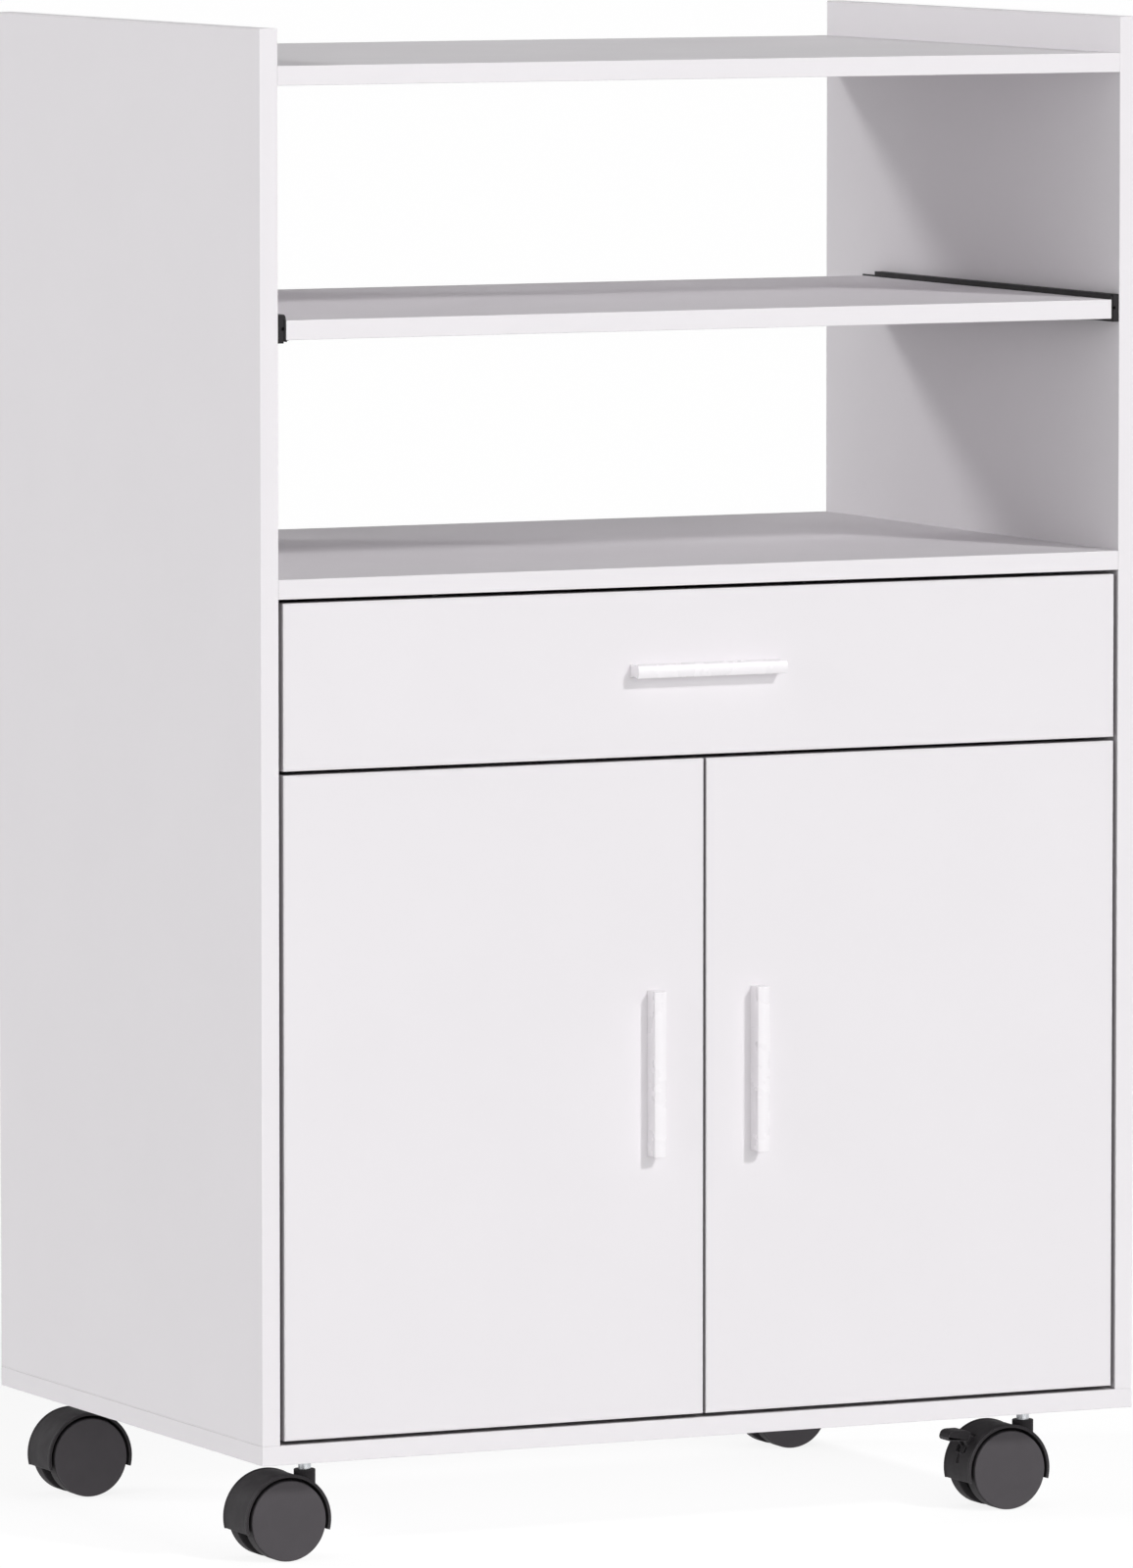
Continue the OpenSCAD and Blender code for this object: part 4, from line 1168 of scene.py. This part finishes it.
    def brake(self) -> None:
        """Builds the lever: a rounded thumb pedal, a fork on the bosses and its shoes."""
        form = Form()
        x, z = self.pivot_mm
        pedal = rounded(
            [(-23.4, 18.6), (-37.4, 18.9), (-37.4, 25.6), (-25.2, 25.6), (-21.6, 23.6)],
            [0.8, 2.4, 5.0, 2.0, 1.2], 6,
        )
        half = self.pedal_half_mm
        form.prism(pedal, 2 * half, self.axle(-half))
        fork = [
            (-12.9, 10.3), (-23.8, 11.3), (-22.7, 13.6), (-26.2, 19.2),
            (-22.6, 22.8), (-13.4, 16.8),
        ]
        for sense in (1, -1):
            low, high = sorted((sense * self.fork_in_mm, sense * self.fork_out_mm))
            thick = high - low
            hole, eye = self.boss_mm + 0.05, self.eye_mm
            form.turned(
                [(hole, 0.0), (eye, 0.0), (eye, thick), (hole, thick)],
                self.axle(low) @ Matrix.Translation((x, z, 0)), steps=40,
            )
            arm = Form()
            arm.prism(fork, thick - 0.02, self.axle(low + 0.01))
            knife = Form()
            self.rod(knife, self.pivot_mm, eye - 0.3, -9.0, 9.0, 40)
            arm.cut(knife)
            data = arm.solid("arm")
            form.mesh.from_mesh(data.data)
            bpy.data.objects.remove(data)
            shoe = (low, high + 4.0) if sense > 0 else (low - 4.0, high)
            self.rod(form, (x + 5, z + 3), self.shoe_mm, *shoe)
        node = "brake_" + self.place
        Piece(
            node + ".moulded", self.place + "_brake", (node,), (HOOD_NYLON,),
            round_mm=1.0, segments=4, angle=48.0,
        ).make(form)


# ---------------------------------------------------------------- carried-over nodes


@dataclass
class Carried:
    """Nodes whose solids have the real shape: they get rounded edges and a finish."""

    nodes: dict[str, tuple[Finish, float]]
    sharp_deg: float = 35.0
    rounded_deg: float = 38.0
    merge_m: float = 1e-6

    def smoothing(self) -> Tree:
        """Returns the node group that joins split corners and shades curves smooth."""
        name = "smooth_curves"
        if name in bpy.data.node_groups:
            return bpy.data.node_groups[name]
        tree = bpy.data.node_groups.new(name, "GeometryNodeTree")
        for way in ("INPUT", "OUTPUT"):
            tree.interface.new_socket(
                "Geometry", in_out=way, socket_type="NodeSocketGeometry"
            )
        start = tree.nodes.new("NodeGroupInput")
        end = tree.nodes.new("NodeGroupOutput")
        bare = add(
            tree, "GeometryNodeRemoveAttribute", {"Name": "custom_normal"},
            {"Geometry": start.outputs[0]},
        )
        joined = add(
            tree, "GeometryNodeMergeByDistance", {"Distance": self.merge_m},
            {"Geometry": bare.outputs[0]},
        )
        faces = add(
            tree, "GeometryNodeSetShadeSmooth",
            {"domain": "FACE", "Shade Smooth": True}, {"Geometry": joined.outputs[0]},
        )
        turn = add(tree, "GeometryNodeInputMeshEdgeAngle")
        sharp = tree.nodes.new("FunctionNodeCompare")
        sharp.operation = "GREATER_THAN"
        sharp.inputs[1].default_value = math.radians(self.sharp_deg)
        tree.links.new(turn.outputs["Unsigned Angle"], sharp.inputs[0])
        edges = add(
            tree, "GeometryNodeSetShadeSmooth",
            {"domain": "EDGE", "Shade Smooth": False},
            {"Geometry": faces.outputs[0], "Selection": sharp.outputs[0]},
        )
        tree.links.new(edges.outputs[0], end.inputs[0])
        return tree

    def build(self) -> None:
        """Dresses each node."""
        for node, (finish, round_mm) in self.nodes.items():
            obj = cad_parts[node]
            smooth = obj.modifiers.new("smooth", "NODES")
            smooth.node_group = self.smoothing()
            rounding = obj.modifiers.new("rounding", "BEVEL")
            rounding.limit_method = "ANGLE"
            rounding.angle_limit = math.radians(self.rounded_deg)
            rounding.width, rounding.segments = round_mm * MM, 2
            rounding.harden_normals = True
            obj.data.materials.clear()
            obj.data.materials.append(finish.material())
            log.info("%s: %s", node, finish.name)


def carried_nodes() -> dict[str, tuple[Finish, float]]:
    """Returns the finish and the edge radius in millimetres of each node kept as it is."""
    plan = {
        "cam_bolts": (PLATED_STEEL, 0.15),
        "cam_locks": (CAST_ZINC, 0.25),
        "wood_dowels": (BEECH, 0.4),
        "base_screws": (PLATED_STEEL, 0.1),
        "hardware_screws": (PLATED_STEEL, 0.1),
        "cabinet_rails": (COATED_RUNNER, 0.35),
        "cabinet_glides": (GLIDE_NYLON, 0.4),
        "caster_stems": (PLATED_STEEL, 0.3),
        "stem_sleeves": (PLATED_STEEL, 0.2),
        "shelf_glides": (GLIDE_NYLON, 0.3),
        "shelf_screws": (PLATED_STEEL, 0.1),
        "drawer_cams": (CAST_ZINC, 0.2),
        "drawer_screws": (PLATED_STEEL, 0.1),
        "drawer_glides": (GLIDE_NYLON, 0.3),
        "drawer_handle_screws": (PLATED_STEEL, 0.3),
    }
    for side in ("left", "right"):
        plan["hinge_arms_" + side] = (PLATED_HINGE, 0.35)
        plan["door_handle_screws_" + side] = (PLATED_STEEL, 0.3)
        plan["hinge_cups_" + side] = (PLATED_HINGE, 0.25)
        plan["hinge_pins_" + side] = (PLATED_HINGE, 0.15)
    for row in ("front", "back"):
        for side in ("left", "right"):
            plan[f"axle_{row}_{side}"] = (PLATED_STEEL, 0.2)
    return plan


# ---------------------------------------------------------------- studio


@dataclass
class Studio:
    """Floor, lamps, surroundings and camera."""

    camera_m: tuple[float, float, float] = (-3.41987504, -7.06937824, 1.16114172)
    yaw: float = 0.450529
    pitch: float = -0.0897820
    lens_mm: float = 287.58
    key: float = 1.3
    side: float = 0.66
    front: float = 2.2
    left: float = 1.52
    zenith: float = 0.13
    horizon: float = 0.21
    ground: float = 0.57
    floor_grey: float = 0.25
    floor_glow: float = 0.85
    seen: float = 1.0

    def build(self) -> None:
        """Builds the studio."""
        self.floor()
        self.lamp("key", (-0.417, 1.0, -0.68), self.key, 7.0)
        self.lamp("side", (1.0, -0.6, -0.5), self.side, 9.0)
        self.lamp("front", (0.0, 1.0, 0.06), self.front, 60.0)
        self.lamp("left", (1.0, 0.0, -0.05), self.left, 60.0)
        self.surroundings()
        self.camera()

    def floor(self) -> None:
        """Builds the pale floor, which shows near white and keeps a soft shadow."""
        form = Form()
        form.block(Vector((-30000, -30000, -10)), Vector((30000, 60000, 0)))
        ground = form.solid("floor", MM)
        made = bpy.data.materials.new("pale_studio_floor")
        made.use_nodes = True
        tree = made.node_tree
        tree.nodes.clear()
        seen = self.looked_at(tree)
        dull = add(tree, "BsdfDiffuse", {"Color": (self.floor_grey,) * 3 + (1.0,)})
        glow = add(
            tree, "Emission", {"Color": (self.floor_glow,) * 3 + (1.0,), "Strength": 1.0}
        )
        both = add(tree, "AddShader", links={0: dull.outputs[0], 1: glow.outputs[0]})
        plain = add(
            tree, "Emission", {"Color": (self.ground,) * 3 + (1.0,), "Strength": 1.0},
        )
        pick = add(
            tree, "MixShader", links={0: seen, 1: plain.outputs[0], 2: both.outputs[0]},
        )
        add(tree, "OutputMaterial", links={"Surface": pick.outputs[0]})
        ground.data.materials.append(made)

    def looked_at(self, tree: Tree) -> Socket:
        """Returns 1 for rays that show the surroundings: straight, mirrored or through."""
        path = add(tree, "LightPath").outputs
        seen = path["Is Camera Ray"]
        for ray in ("Is Glossy Ray", "Is Transmission Ray"):
            links = {0: seen, 1: path[ray]}
            seen = add(tree, "Math", {"operation": "MAXIMUM"}, links).outputs[0]
        return seen

    def lamp(
        self, name: str, travel: tuple[float, float, float], power: float, angle: float
    ) -> None:
        """Adds a distant soft lamp.

        Args:
            name: the lamp's name.
            travel: the way its light goes.
            power: its strength.
            angle: how wide it looks, in degrees.
        """
        data = bpy.data.lights.new(name, "SUN")
        data.energy, data.angle = power, math.radians(angle)
        lamp = bpy.data.objects.new(name, data)
        lamp.rotation_euler = Vector(travel).to_track_quat("-Z", "Y").to_euler()
        bpy.context.scene.collection.objects.link(lamp)

    def surroundings(self) -> None:
        """Builds the world: brighter round the horizon, plain white where it is seen."""
        world = bpy.data.worlds.new("studio")
        bpy.context.scene.world = world
        world.use_nodes = True
        tree = world.node_tree
        tree.nodes.clear()
        way = add(
            tree, "SeparateXYZ", links={0: add(tree, "TexCoord").outputs["Generated"]}
        )
        level = add(
            tree, "MapRange",
            {
                "From Min": 0.0, "From Max": 0.8,
                "To Min": self.horizon, "To Max": self.zenith,
            }, {"Value": way.outputs["Z"]},
        )
        seen = self.looked_at(tree)
        strength = add(
            tree, "Mix", {"data_type": "FLOAT", 3: self.seen},
            {0: seen, 2: level.outputs["Result"]},
        )
        light = add(
            tree, "Background", {"Color": (1.0, 1.0, 1.0, 1.0)},
            {"Strength": strength.outputs[0]},
        )
        add(tree, "OutputWorld", links={"Surface": light.outputs[0]})

    def camera(self) -> None:
        """Places the camera where the photograph was taken from."""
        data = bpy.data.cameras.new("camera")
        data.lens, data.sensor_width, data.sensor_fit = self.lens_mm, 36.0, "AUTO"
        data.clip_end = 200.0
        eye = bpy.data.objects.new("camera", data)
        eye.location = self.camera_m
        eye.rotation_euler = (math.pi / 2 + self.pitch, 0.0, -self.yaw)
        bpy.context.scene.collection.objects.link(eye)
        bpy.context.scene.camera = eye


def main() -> None:
    """Builds the cart's pieces in order and then the studio around them."""
    logging.basicConfig(level=logging.INFO, format="%(message)s")
    bpy.context.scene.view_settings.view_transform = "Standard"
    Cabinet().build()
    for node, body in (
        ("drawer_handle", "drawer"), ("door_handle_left", "left_door"),
        ("door_handle_right", "right_door"),
    ):
        BarHandle(node, body).build()
    Runner("shelf_rails", "sliding_shelf", "shelf_screws").build()
    Runner("drawer_rails", "drawer", "drawer_screws").build()
    for row in ("front", "back"):
        for side in ("left", "right"):
            Caster(f"{row}_{side}", side == "right").build()
    Carried(carried_nodes()).build()
    Studio().build()


if __name__ == "__main__":
    main()
